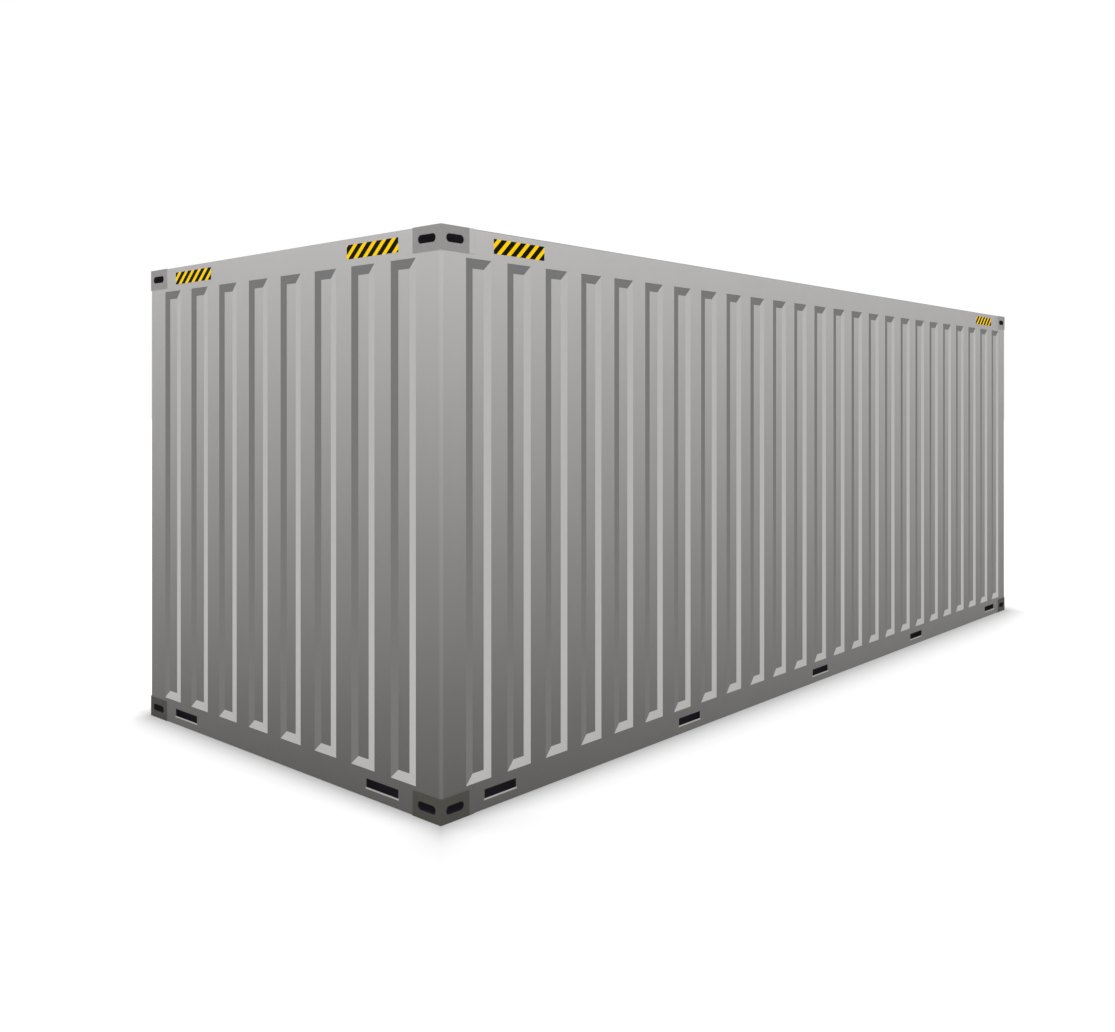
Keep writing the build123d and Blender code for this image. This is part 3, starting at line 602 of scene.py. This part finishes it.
def zinc():
    """Galvanised steel of the door gear, with the pale and dark crystals of hot zinc."""
    recipe = Recipe("gear_zinc", 0.45, specular=0.5, metallic=0.35)
    crystal = recipe.tree.nodes.new("ShaderNodeTexVoronoi")
    crystal.inputs["Scale"].default_value = CRYSTAL_SCALE
    recipe.feed(crystal.inputs["Vector"], recipe.place)
    tone = recipe.split(crystal.outputs["Color"])[0]
    cloud = recipe.math("MULTIPLY", recipe.noise(9.0, detail=4.0), 1.0 - CRYSTAL_SHARE)
    value = recipe.math("MULTIPLY_ADD", tone, CRYSTAL_SHARE, cloud)
    recipe.colour(recipe.ramp(value, ZINC_TONES))
    recipe.roughness(recipe.fade(tone, 0.0, 1.0, 0.36, 0.55))
    recipe.relief(recipe.noise(220.0, detail=3.0), strength=0.15, distance=0.0006)
    return recipe.material


def bolt_finish():
    """Bright zinc plating of the bolts and pins."""
    recipe = Recipe("bolt_zinc", 0.35, specular=0.5, metallic=0.6)
    cloud = recipe.noise(60.0, detail=4.0)
    recipe.colour(recipe.ramp(cloud, BOLT_TONES))
    recipe.roughness(recipe.uneven(cloud, 0.30, 0.45))
    return recipe.material


def rubber(name):
    """Black rubber of the door seals, with fine dust."""
    recipe = Recipe(name, 0.75)
    dust = recipe.fade(recipe.noise(30.0, detail=6.0), 0.45, 0.8)
    recipe.colour(recipe.mix(dust, RUBBER_TONE, DUST_TONE))
    recipe.relief(recipe.noise(400.0), strength=0.2, distance=0.0004)
    return recipe.material


def plywood():
    """Sealed plywood of the floor: boards across the container, each with its own grain."""
    recipe = Recipe("deck_plywood", 0.6)
    board = recipe.math("DIVIDE", recipe.x, BOARD)
    seam = recipe.math("ABSOLUTE", recipe.math("SUBTRACT", recipe.math("FRACT", board), 0.5))
    grain = recipe.noise(22.0, stretch=(0.12, 1.0, 1.0), detail=6.0, roughness=0.6)
    wood = recipe.ramp(grain, WOOD_TONES)
    recipe.colour(recipe.mix(recipe.fade(seam, SEAM_START, SEAM_FULL), wood, SEAM_TONE))
    recipe.relief(grain, strength=0.3, distance=0.001)
    return recipe.material


def film(name, colour):
    """Coloured film of a warning patch, slightly scuffed."""
    recipe = Recipe(name, 0.5)
    scuff = recipe.fade(recipe.noise(35.0, detail=6.0, roughness=0.65), 0.35, 0.75, 1.0, 0.93)
    recipe.colour(recipe.mix(1.0, colour, scuff, kind="MULTIPLY"))
    recipe.roughness(recipe.uneven(recipe.noise(18.0), 0.42, 0.55))
    recipe.relief(recipe.noise(150.0), strength=0.1, distance=0.0004)
    return recipe.material


def seen_rays(tree):
    """One for rays from the camera, from gloss or through glass, and none for the rest."""
    path = tree.nodes.new("ShaderNodeLightPath")
    seen = path.outputs["Is Camera Ray"]
    for kind in ("Is Glossy Ray", "Is Transmission Ray"):
        either = tree.nodes.new("ShaderNodeMath")
        either.operation = "MAXIMUM"
        tree.links.new(seen, either.inputs[0])
        tree.links.new(path.outputs[kind], either.inputs[1])
        seen = either.outputs[0]
    return seen


# Studio floor: a painted shadow along the container's foot, its tone by the distance from the wall,
# with more painted shadow under the container and beside the near corner
FLOOR_TONE = 0.80
FLOOR_GLOW = 0.60
FOOT_REACH = 0.48
FOOT_SHADES = (
    (0.0, 0.44), (0.034, 0.49), (0.10, 0.595), (0.17, 0.68),
    (0.27, 0.775), (0.42, 0.835), (0.75, 0.87), (1.0, 1.0),
)
FOOT_EDGE = 0.012
UNDER_SHADE = 0.06
END_NARROWING = 1.18
CORNER_SHADE = 0.83
CORNER_SHADE_START = -2.5
CORNER_BLUR = 0.004
WHITE = (1.0, 1.0, 1.0)


def floor_finish():
    """Pale floor paint with a painted shadow along the container's foot: its shadows stay, and the
    rest is white to the camera.
    """
    recipe = Recipe("studio_floor_paint", 0.9, specular=0.1)
    beyond, past, outer = [], [], []
    for part, face, narrowing in (
        (recipe.x, END_FACE, END_NARROWING), (recipe.y, SIDE_FACE, 1.0),
    ):
        beyond.append(recipe.math("SUBTRACT", recipe.math("ABSOLUTE", part), face))
        past.append(recipe.math("MULTIPLY", recipe.math("MAXIMUM", beyond[-1], 0.0), narrowing))
        outer.append(recipe.math("GREATER_THAN", part, 0.0))
    far_side = recipe.math("MAXIMUM", *outer)
    corner = recipe.math("MULTIPLY", recipe.math("MINIMUM", *past), far_side)
    away = recipe.math("ADD", recipe.math("MAXIMUM", *past), corner)
    share = recipe.math("DIVIDE", recipe.math("DIVIDE", away, FOOT_REACH), softening(recipe))
    # Painted shadow along the container's foot
    painted_foot_shadow = recipe.ramp(share, [(place, (tone, tone, tone)) for place, tone in FOOT_SHADES])
    # Painted shadow under the container, deeper beside the near corner
    most = recipe.math("MAXIMUM", *beyond)
    under = recipe.fade(most, -FOOT_EDGE, 0.0, UNDER_SHADE, 1.0)
    outside = recipe.math("MAXIMUM", most, CORNER_BLUR)
    corner = recipe.math("DIVIDE", recipe.math("MINIMUM", *beyond), outside)
    painted_corner_shadow = recipe.fade(corner, CORNER_SHADE_START, 1.0, 1.0, CORNER_SHADE)
    under = recipe.math("MULTIPLY", under, recipe.math("MAXIMUM", painted_corner_shadow, far_side))
    shade = recipe.mix(1.0, painted_foot_shadow, under, kind="MULTIPLY")
    seen_painted_shadow = recipe.mix(seen_rays(recipe.tree), WHITE, shade)
    recipe.colour(recipe.mix(1.0, (FLOOR_TONE, FLOOR_TONE, FLOOR_TONE), seen_painted_shadow, kind="MULTIPLY"))
    recipe.join(shade, recipe.shader.inputs["Emission Color"])
    glow = recipe.math("MULTIPLY", seen_rays(recipe.tree), FLOOR_GLOW)
    recipe.join(glow, recipe.shader.inputs["Emission Strength"])
    return recipe.material


# Edges that turn by more than this are rounded, in this many steps
ROUNDING_ANGLE = math.radians(40)
ROUNDING_STEPS = 3


def dress(starts, material, edge=0.0):
    """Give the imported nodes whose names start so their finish, and round edges by a radius."""
    for name, node in NODES.items():
        if not name.startswith(starts):
            continue
        for slot in node.material_slots:
            slot.material = material
        if edge:
            weld = node.modifiers.new("merge", "WELD")
            weld.merge_threshold = MERGE
            rounding = node.modifiers.new("rounding", "BEVEL")
            rounding.width = edge
            rounding.segments = ROUNDING_STEPS
            rounding.limit_method = "ANGLE"
            rounding.angle_limit = ROUNDING_ANGLE
            rounding.harden_normals = True


def solids(*nodes):
    """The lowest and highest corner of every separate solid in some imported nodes."""
    boxes = []
    for node in nodes:
        mesh = bmesh.new()
        mesh.from_mesh(NODES[node].data)
        bmesh.ops.remove_doubles(mesh, verts=mesh.verts, dist=MERGE)
        waiting = set(mesh.verts)
        while waiting:
            front = [waiting.pop()]
            points = []
            while front:
                vert = front.pop()
                points.append(vert.co.copy())
                for edge in vert.link_edges:
                    other = edge.other_vert(vert)
                    if other in waiting:
                        waiting.remove(other)
                        front.append(other)
            low = Vector(min(point[axis] for point in points) for axis in range(3))
            high = Vector(max(point[axis] for point in points) for axis in range(3))
            boxes.append((low, high))
        mesh.free()
    return sorted(boxes, key=lambda box: tuple(round(value, 4) for value in box[0]))


# Making pieces

# How far the normal of a face points a way that the face looks
FACING = 0.9

# Edges of pins and beads that turn by less than this are smooth
SMOOTHING = math.radians(50)


def deselect():
    """Leave edit mode and select nothing."""
    if bpy.context.object and bpy.context.object.mode != "OBJECT":
        bpy.ops.object.mode_set(mode="OBJECT")
    bpy.ops.object.select_all(action="DESELECT")


def select_faces(piece, chosen):
    """In edit mode, select just the faces that a test picks by their normal."""
    bpy.ops.mesh.select_all(action="DESELECT")
    bpy.ops.mesh.select_mode(type="FACE")
    mesh = bmesh.from_edit_mesh(piece.data)
    for face in mesh.faces:
        face.select_set(chosen(face.normal))
    bmesh.update_edit_mesh(piece.data)


def repeat(places):
    """In object mode, copy the active piece's mesh from the origin to every place."""
    bpy.ops.object.mode_set(mode="EDIT")
    bpy.ops.mesh.select_all(action="SELECT")
    bpy.ops.transform.translate(value=places[0])
    for last, place in zip(places, places[1:]):
        bpy.ops.mesh.duplicate_move(TRANSFORM_OT_translate={"value": place - last})
    bpy.ops.object.mode_set(mode="OBJECT")


def settle(piece, name, material):
    """Name a finished piece, put its place into its mesh and hang it on the container."""
    bpy.ops.object.transform_apply()
    piece.name = name
    piece.data.name = name
    if material:
        piece.data.materials.clear()
        piece.data.materials.append(material)
    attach(piece, "root")


# Operators

SENSOR_WIDTH = 36.0
VIEW_REACH = 500.0
LAMP_DISTANCE = 12.0


class CONTAINER_OT_stage(Operator):
    """Set the floor, the lamps, the sky and the camera"""

    bl_idname = "container.stage"
    bl_label = "Stage"
    bl_options = {"REGISTER", "UNDO"}

    def execute(self, context):
        stage = context.scene.container_stage
        context.scene.view_settings.view_transform = "Standard"
        self.camera(context, stage)
        self.sky(context, stage)
        self.lamps(stage)
        self.floor(stage)
        return {"FINISHED"}

    def camera(self, context, stage):
        """Stand the camera at a person's eye height before the closed end's left corner."""
        bpy.ops.object.camera_add(
            location=stage.camera_place, rotation=(math.pi / 2, 0.0, stage.camera_turn)
        )
        camera = context.object
        camera.name = "studio_camera"
        camera.data.sensor_width = SENSOR_WIDTH
        camera.data.lens = stage.camera_lens
        camera.data.shift_x, camera.data.shift_y = stage.camera_shift
        camera.data.clip_end = VIEW_REACH
        context.scene.camera = camera

    def sky(self, context, stage):
        """An even sky that is seen as white."""
        world = bpy.data.worlds.new("studio_sky")
        context.scene.world = world
        world.use_nodes = True
        nodes, links = world.node_tree.nodes, world.node_tree.links
        nodes.clear()
        output = nodes.new("ShaderNodeOutputWorld")
        mix = nodes.new("ShaderNodeMixShader")
        for socket, strength in ((1, stage.sky), (2, 1.0)):
            background = nodes.new("ShaderNodeBackground")
            background.inputs["Color"].default_value = (*WHITE, 1.0)
            background.inputs["Strength"].default_value = strength
            links.new(background.outputs[0], mix.inputs[socket])
        links.new(seen_rays(world.node_tree), mix.inputs["Fac"])
        links.new(mix.outputs[0], output.inputs["Surface"])

    def lamps(self, stage):
        """Four wide soft lamps, each standing to the left of one wall and above it."""
        for wall in WALLS:
            toward = wall_vector(
                wall,
                -math.sin(stage.lamp_turn) * math.cos(stage.lamp_rise),
                math.cos(stage.lamp_turn) * math.cos(stage.lamp_rise),
                math.sin(stage.lamp_rise),
            )
            bpy.ops.object.light_add(type="SUN", location=toward * LAMP_DISTANCE)
            lamp = bpy.context.object
            lamp.name = f"lamp_{wall}"
            lamp.rotation_euler = toward.to_track_quat("Z", "Y").to_euler()
            lamp.data.energy = stage.lamps
            lamp.data.angle = stage.lamp_softness

    def floor(self, stage):
        """A pale floor that is seen as white, with a soft painted shadow along the foot."""
        bpy.ops.mesh.primitive_plane_add(size=2 * stage.floor_reach)
        floor = bpy.context.object
        floor.name = "studio_floor"
        floor.data.materials.append(floor_finish())


# Nodes that share a finish, by the start of their names
WALL_SHEETS = {
    "left": "side_panel_left",
    "right": "side_panel_right",
    "front": "front_panel",
    "door": "door_panel",
}
FRAME_NODES = (
    "front_post", "door_post", "top_rail", "bottom_rail", "front_sill", "front_header",
    "door_sill", "door_header", "cross_members",
)
GEAR_NODES = ("lock_rod", "rod_brackets", "cam_keepers", "handle", "hinges")

# Radii of rounded edges
LEAF_ROUNDING = 0.003
CASTING_ROUNDING = 0.0025
GEAR_ROUNDING = 0.0014


class CONTAINER_OT_paint_walls(Operator):
    """Paint the pressed sheets of the sides, ends, doors and roof, with painted shade by height and
    painted light and shade on their folds
    """

    bl_idname = "container.paint_walls"
    bl_label = "Paint walls"
    bl_options = {"REGISTER", "UNDO"}

    def execute(self, context):
        paint = context.scene.container_paint
        up = Vector((0.0, 0.0, 1.0))
        for wall, sheet in WALL_SHEETS.items():
            left = wall_vector(wall, -1, 0, 0)
            dress(sheet, wall_paint(f"wall_paint_{wall}", left, up, paint))
        # The roof's folds that face the closed end or the right side get the painted light
        forward, across = Vector((-1.0, 0.0, 0.0)), Vector((0.0, 1.0, 0.0))
        dress("roof", wall_paint("roof_paint", forward, across, paint))
        return {"FINISHED"}


class CONTAINER_OT_paint_frame(Operator):
    """Paint the posts, rails, sills, door leaves' frames and the members under the floor, with
    painted shade, painted highlights and a painted glow in the slots
    """

    bl_idname = "container.paint_frame"
    bl_label = "Paint frame"
    bl_options = {"REGISTER", "UNDO"}

    def execute(self, context):
        material = frame_paint(context.scene.container_paint)
        dress(FRAME_NODES, material)
        dress("door_frame", material, LEAF_ROUNDING)
        return {"FINISHED"}


class CONTAINER_OT_paint_castings(Operator):
    """Paint the eight corner fittings, with painted shade"""

    bl_idname = "container.paint_castings"
    bl_label = "Paint corner fittings"
    bl_options = {"REGISTER", "UNDO"}

    def execute(self, context):
        dress("casting", casting_paint(context.scene.container_paint), CASTING_ROUNDING)
        return {"FINISHED"}


class CONTAINER_OT_finish_gear(Operator):
    """Give the door gear, the seals and the floor their finishes"""

    bl_idname = "container.finish_gear"
    bl_label = "Finish door gear"
    bl_options = {"REGISTER", "UNDO"}

    def execute(self, context):
        dress(GEAR_NODES, zinc(), GEAR_ROUNDING)
        dress("door_gasket", rubber("gasket_rubber"))
        dress("floor_deck", plywood())
        return {"FINISHED"}


# Where the first whole yellow stripe starts in the left and the right patch of a wall
SIDE_STARTS = (0.016, 0.008)
END_STARTS = (0.029, 0.048)


class CONTAINER_OT_warning_patches(Operator):
    """Stick two striped warning patches on the top rail of every wall"""

    bl_idname = "container.warning_patches"
    bl_label = "Warning patches"
    bl_options = {"REGISTER", "UNDO"}

    def execute(self, context):
        paint = context.scene.container_paint
        patch = context.scene.container_patches
        films = [film("film_yellow", paint.stripe_yellow), film("film_black", paint.stripe_black)]
        side = (patch.side_length, patch.side_pitch, patch.side_lean)
        end = (patch.end_length, patch.end_pitch, patch.end_lean)
        for wall in WALLS:
            if wall in ("left", "right"):
                stripes, starts, reach = side, SIDE_STARTS, HALF_LENGTH - patch.side_inset
            else:
                stripes, starts, reach = end, END_STARTS, HALF_WIDTH - patch.end_inset
            edges = (-reach, reach - stripes[0])
            for place, edge, start in zip("ab", edges, starts):
                name = f"warning_patch_{wall}_{place}"
                self.patch(name, wall, edge, start, stripes, patch, films)
        return {"FINISHED"}

    def patch(self, name, wall, edge, start, stripes, patch, films):
        """One film with its stripes cut in, from the edge that a viewer sees on the left."""
        length, pitch, lean = stripes
        turn, out = WALLS[wall]
        low = HEIGHT - patch.drop - patch.height
        middle = (edge + length / 2, -out - patch.thickness / 2, low + patch.height / 2)
        deselect()
        bpy.ops.mesh.primitive_cube_add(size=1.0, location=middle)
        film_piece = bpy.context.object
        film_piece.scale = (length, patch.thickness, patch.height)
        bpy.ops.object.transform_apply()
        bpy.ops.object.mode_set(mode="EDIT")
        normal = Vector((patch.height, 0.0, -lean)).normalized()
        cut = start - pitch * math.ceil((start + lean) / pitch)
        while cut < length:
            for place in (cut, cut + pitch * patch.yellow_share):
                bpy.ops.mesh.select_all(action="SELECT")
                bpy.ops.mesh.bisect(plane_co=(edge + place, -out, low), plane_no=normal)
            cut += pitch
        bpy.ops.object.mode_set(mode="OBJECT")
        film_piece.data.materials.append(films[0])
        film_piece.data.materials.append(films[1])
        for face in film_piece.data.polygons:
            rise = (face.center.z - low) / patch.height
            share = (face.center.x - edge - start - lean * rise) / pitch
            face.material_index = 0 if share % 1.0 < patch.yellow_share else 1
        film_piece.rotation_euler = (0.0, 0.0, turn)
        settle(film_piece, name, None)


# Bolts: the washer's thickness, and the rest as shares of the head
WASHER = 0.0016
WASHER_SPREAD = 0.78
HEAD_HEIGHT = 0.42
HEAD_CHAMFER = 0.22


def gear_bolt(across):
    """A hexagon head on its washer, seated at the origin and pointing out of the doors."""
    head = across * HEAD_HEIGHT
    deselect()
    bpy.ops.mesh.primitive_cylinder_add(
        vertices=6, radius=across / math.sqrt(3), depth=head, rotation=(0.0, math.pi / 2, 0.0),
        location=(WASHER + head / 2, 0.0, 0.0),
    )
    bolt = bpy.context.object
    bpy.ops.object.transform_apply()
    bpy.ops.object.mode_set(mode="EDIT")
    select_faces(bolt, lambda normal: normal.x > FACING)
    bpy.ops.mesh.bevel(offset=head * HEAD_CHAMFER, segments=1)
    bpy.ops.mesh.primitive_cylinder_add(
        vertices=20, radius=across * WASHER_SPREAD, depth=WASHER,
        rotation=(0.0, math.pi / 2, 0.0), location=(WASHER / 2, 0.0, 0.0),
    )
    bpy.ops.object.mode_set(mode="OBJECT")
    return bolt


def pairs(out, across, height, rise):
    """Places above and below a height, at each of some places across the doors."""
    return [Vector((out, place, height + step)) for place in across for step in (-rise, rise)]


# Widths of the bolts' heads, and their places on brackets, catches, hinges and handles
BRACKET_BOLT = 0.015
CATCH_BOLT = 0.013
HINGE_BOLT = 0.017
PIVOT_BOLT = 0.019
BRACKET_FOOT = 0.006
BRACKET_BOLT_EDGE = 0.0115
BRACKET_BOLT_RISE = 0.018
CATCH_BOLT_SIDE = 0.014
CATCH_BOLT_RISE = 0.033
BLADE_SHORTEST = 0.080
BLADE_BOLT_ROWS = (0.018, 0.055)
BLADE_BOLT_RISE = 0.024
BLADE_THICKNESS = 0.0085
EAR_THICKNESS = 0.0053
PIVOT_SHIFT = 0.017


class CONTAINER_OT_bolts(Operator):
    """Bolt the rod brackets, the catches, the hinge blades and the handles"""

    bl_idname = "container.bolts"
    bl_label = "Bolts"
    bl_options = {"REGISTER", "UNDO"}

    def execute(self, context):
        finish = bolt_finish()
        brackets, catches, blades = [], [], []
        for low, high in solids("rod_brackets"):
            across = (low.y + BRACKET_BOLT_EDGE, high.y - BRACKET_BOLT_EDGE)
            middle = (low + high) / 2
            brackets += pairs(low.x + BRACKET_FOOT, across, middle.z, BRACKET_BOLT_RISE)
        for low, high in solids("handle_catches"):
            middle = (low + high) / 2
            across = (middle.y - CATCH_BOLT_SIDE, middle.y + CATCH_BOLT_SIDE)
            catches += pairs(low.x + BRACKET_FOOT, across, middle.z, CATCH_BOLT_RISE)
        for low, high in solids("hinges_left", "hinges_right"):
            if high.y - low.y < BLADE_SHORTEST:
                continue
            inward = -1.0 if low.y > 0 else 1.0
            tip = high.y if inward > 0 else low.y
            middle = (low + high) / 2
            across = [tip - inward * back for back in BLADE_BOLT_ROWS]
            blades += pairs(low.x + BLADE_THICKNESS, across, middle.z, BLADE_BOLT_RISE)
        for name, places, width in (
            ("bracket_bolts", brackets, BRACKET_BOLT),
            ("catch_bolts", catches, CATCH_BOLT),
            ("hinge_bolts", blades, HINGE_BOLT),
            ("handle_pivots", self.pivots(), PIVOT_BOLT),
        ):
            bolt = gear_bolt(width)
            repeat(places)
            settle(bolt, name, finish)
        return {"FINISHED"}

    def pivots(self):
        """Where each handle is bolted between its rod's ears."""
        places = []
        for handle in ("handles_left", "handles_right"):
            for low, high in solids(handle):
                outward = 1.0 if low.y > 0 else -1.0
                across = (low.y if outward > 0 else high.y) + outward * PIVOT_SHIFT
                places.append(Vector((high.x + EAR_THICKNESS, across, (low.z + high.z) / 2)))
        return places


# Hinge pins: the eye round a pin, the pin, and its rounded ends as a share of its radius
EYE_RADIUS = 0.018
PIN_RADIUS = 0.010
PIN_LENGTH = 0.132
PIN_CROWN = 0.4


class CONTAINER_OT_hinge_pins(Operator):
    """Put a pin with rounded ends through the eye and the lugs of every hinge"""

    bl_idname = "container.hinge_pins"
    bl_label = "Hinge pins"
    bl_options = {"REGISTER", "UNDO"}

    def execute(self, context):
        finish = bolt_finish()
        for side in ("left", "right"):
            outward = 1.0 if side == "right" else -1.0
            places = []
            for low, high in solids(f"hinges_{side}"):
                if high.y - low.y > BLADE_SHORTEST:
                    across = (high.y if outward > 0 else low.y) - outward * EYE_RADIUS
                    places.append(Vector((high.x - EYE_RADIUS, across, (low.z + high.z) / 2)))
            deselect()
            bpy.ops.mesh.primitive_cylinder_add(vertices=24, radius=PIN_RADIUS, depth=PIN_LENGTH)
            pin = bpy.context.object
            bpy.ops.object.mode_set(mode="EDIT")
            select_faces(pin, lambda normal: abs(normal.z) > FACING)
            bpy.ops.mesh.bevel(offset=PIN_RADIUS * PIN_CROWN, segments=ROUNDING_STEPS)
            bpy.ops.object.mode_set(mode="OBJECT")
            bpy.ops.object.shade_smooth_by_angle(angle=SMOOTHING)
            repeat(places)
            settle(pin, f"hinge_pins_{side}", finish)
        return {"FINISHED"}


# Seal lips: how far they stand out of a leaf's edge, how far behind its face, and their rounding
LIP_WIDTH = 0.0036
LIP_SET_BACK = 0.005
LIP_ROUNDING = 0.00126
LIP_SMOOTHING = math.radians(40)


class CONTAINER_OT_door_seals(Operator):
    """Fit a rubber lip round the edge of each door leaf"""

    bl_idname = "container.door_seals"
    bl_label = "Door seals"
    bl_options = {"REGISTER", "UNDO"}

    def execute(self, context):
        rubber_lip = rubber("seal_lip")
        for side in ("left", "right"):
            low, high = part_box(f"door_frame_{side}")
            middle = (low + high) / 2
            deselect()
            bpy.ops.mesh.primitive_plane_add(
                size=1.0, location=(low.x, middle.y, middle.z), rotation=(0.0, math.pi / 2, 0.0)
            )
            lip = bpy.context.object
            lip.scale = (high.z - low.z + 2 * LIP_WIDTH, high.y - low.y + 2 * LIP_WIDTH, 1.0)
            bpy.ops.object.transform_apply()
            bpy.ops.object.mode_set(mode="EDIT")
            bpy.ops.mesh.select_all(action="SELECT")
            bpy.ops.mesh.inset(thickness=LIP_WIDTH, use_boundary=True)
            bpy.ops.mesh.delete(type="FACE")
            bpy.ops.object.mode_set(mode="OBJECT")
            depth = lip.modifiers.new("depth", "SOLIDIFY")
            depth.thickness = high.x - low.x - LIP_SET_BACK
            depth.offset = 1.0
            rounding = lip.modifiers.new("rounding", "BEVEL")
            rounding.width = LIP_ROUNDING
            rounding.segments = ROUNDING_STEPS
            for name in ("depth", "rounding"):
                bpy.ops.object.modifier_apply(modifier=name)
            bpy.ops.object.shade_smooth_by_angle(angle=LIP_SMOOTHING)
            settle(lip, f"seal_lip_{side}", rubber_lip)
        return {"FINISHED"}


# Weld beads: how far their ends stop from a rail's edge, and their radius
RAIL_EDGE = 0.007
BEAD_RADIUS = 0.0018


class CONTAINER_OT_weld_beads(Operator):
    """Run a weld bead round the edge of every corner fitting, where the posts and rails meet it"""

    bl_idname = "container.weld_beads"
    bl_label = "Weld beads"
    bl_options = {"REGISTER", "UNDO"}

    def execute(self, context):
        finish = bead_paint(context.scene.container_paint)
        for end, end_sign in (("front", -1.0), ("door", 1.0)):
            for side, side_sign in (("left", -1.0), ("right", 1.0)):
                for level in ("bottom", "top"):
                    self.bead(f"{end}_{side}_{level}", end_sign, side_sign, finish)
        return {"FINISHED"}

    def bead(self, corner, end_sign, side_sign, finish):
        """One bead along the two outer faces of a fitting."""
        low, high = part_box(f"casting_{corner}")
        inner_x = low.x if end_sign > 0 else high.x
        inner_y = low.y if side_sign > 0 else high.y
        out_x, out_y = end_sign * END_FACE, side_sign * SIDE_FACE
        if corner.endswith("bottom"):
            seam, tip = high.z, low.z + RAIL_EDGE
        else:
            seam, tip = low.z, high.z - RAIL_EDGE
        corners = [
            (inner_x, out_y, tip), (inner_x, out_y, seam), (out_x, out_y, seam),
            (out_x, inner_y, seam), (out_x, inner_y, tip),
        ]
        curve = bpy.data.curves.new(f"weld_bead_{corner}", "CURVE")
        curve.dimensions = "3D"
        curve.bevel_depth = BEAD_RADIUS
        curve.bevel_resolution = 2
        curve.use_fill_caps = True
        run = curve.splines.new("POLY")
        run.points.add(len(corners) - 1)
        for point, place in zip(run.points, corners):
            point.co = (*place, 1.0)
        piece = bpy.data.objects.new(f"weld_bead_{corner}", curve)
        bpy.context.collection.objects.link(piece)
        deselect()
        piece.select_set(True)
        bpy.context.view_layer.objects.active = piece
        bpy.ops.object.convert(target="MESH")
        piece = bpy.context.object
        bpy.ops.object.mode_set(mode="EDIT")
        bpy.ops.mesh.select_all(action="SELECT")
        bpy.ops.mesh.remove_doubles(threshold=MERGE)
        bpy.ops.object.mode_set(mode="OBJECT")
        bpy.ops.object.shade_smooth_by_angle(angle=SMOOTHING)
        settle(piece, f"weld_bead_{corner}", finish)


class CONTAINER_PT_panel(Panel):
    """Lists the container's settings and steps"""

    bl_idname = "CONTAINER_PT_panel"
    bl_label = "Shipping container"
    bl_space_type = "VIEW_3D"
    bl_region_type = "UI"
    bl_category = "Container"

    def draw(self, context):
        layout = self.layout
        for settings in ("container_paint", "container_patches", "container_stage"):
            box = layout.box()
            group = getattr(context.scene, settings)
            for setting in group.__annotations__:
                box.prop(group, setting)
        for step in STEPS:
            layout.operator(step.bl_idname)


STEPS = (
    CONTAINER_OT_stage,
    CONTAINER_OT_paint_walls,
    CONTAINER_OT_paint_frame,
    CONTAINER_OT_paint_castings,
    CONTAINER_OT_finish_gear,
    CONTAINER_OT_warning_patches,
    CONTAINER_OT_bolts,
    CONTAINER_OT_hinge_pins,
    CONTAINER_OT_door_seals,
    CONTAINER_OT_weld_beads,
)
SETTINGS = {
    "container_paint": PaintSettings,
    "container_patches": PatchSettings,
    "container_stage": StageSettings,
}


def register():
    """Make the settings, the steps and the panel known to Blender."""
    for group in SETTINGS.values():
        bpy.utils.register_class(group)
    for name, group in SETTINGS.items():
        setattr(bpy.types.Scene, name, PointerProperty(type=group))
    for step in STEPS:
        bpy.utils.register_class(step)
    bpy.utils.register_class(CONTAINER_PT_panel)


def unregister():
    """Take them back in the opposite order."""
    bpy.utils.unregister_class(CONTAINER_PT_panel)
    for step in reversed(STEPS):
        bpy.utils.unregister_class(step)
    for name in SETTINGS:
        delattr(bpy.types.Scene, name)
    for group in reversed(list(SETTINGS.values())):
        bpy.utils.unregister_class(group)


def main():
    """Run every step in order."""
    register()
    bpy.ops.container.stage()
    bpy.ops.container.paint_walls()
    bpy.ops.container.paint_frame()
    bpy.ops.container.paint_castings()
    bpy.ops.container.finish_gear()
    bpy.ops.container.warning_patches()
    bpy.ops.container.bolts()
    bpy.ops.container.hinge_pins()
    bpy.ops.container.door_seals()
    bpy.ops.container.weld_beads()


if __name__ == "__main__":
    main()
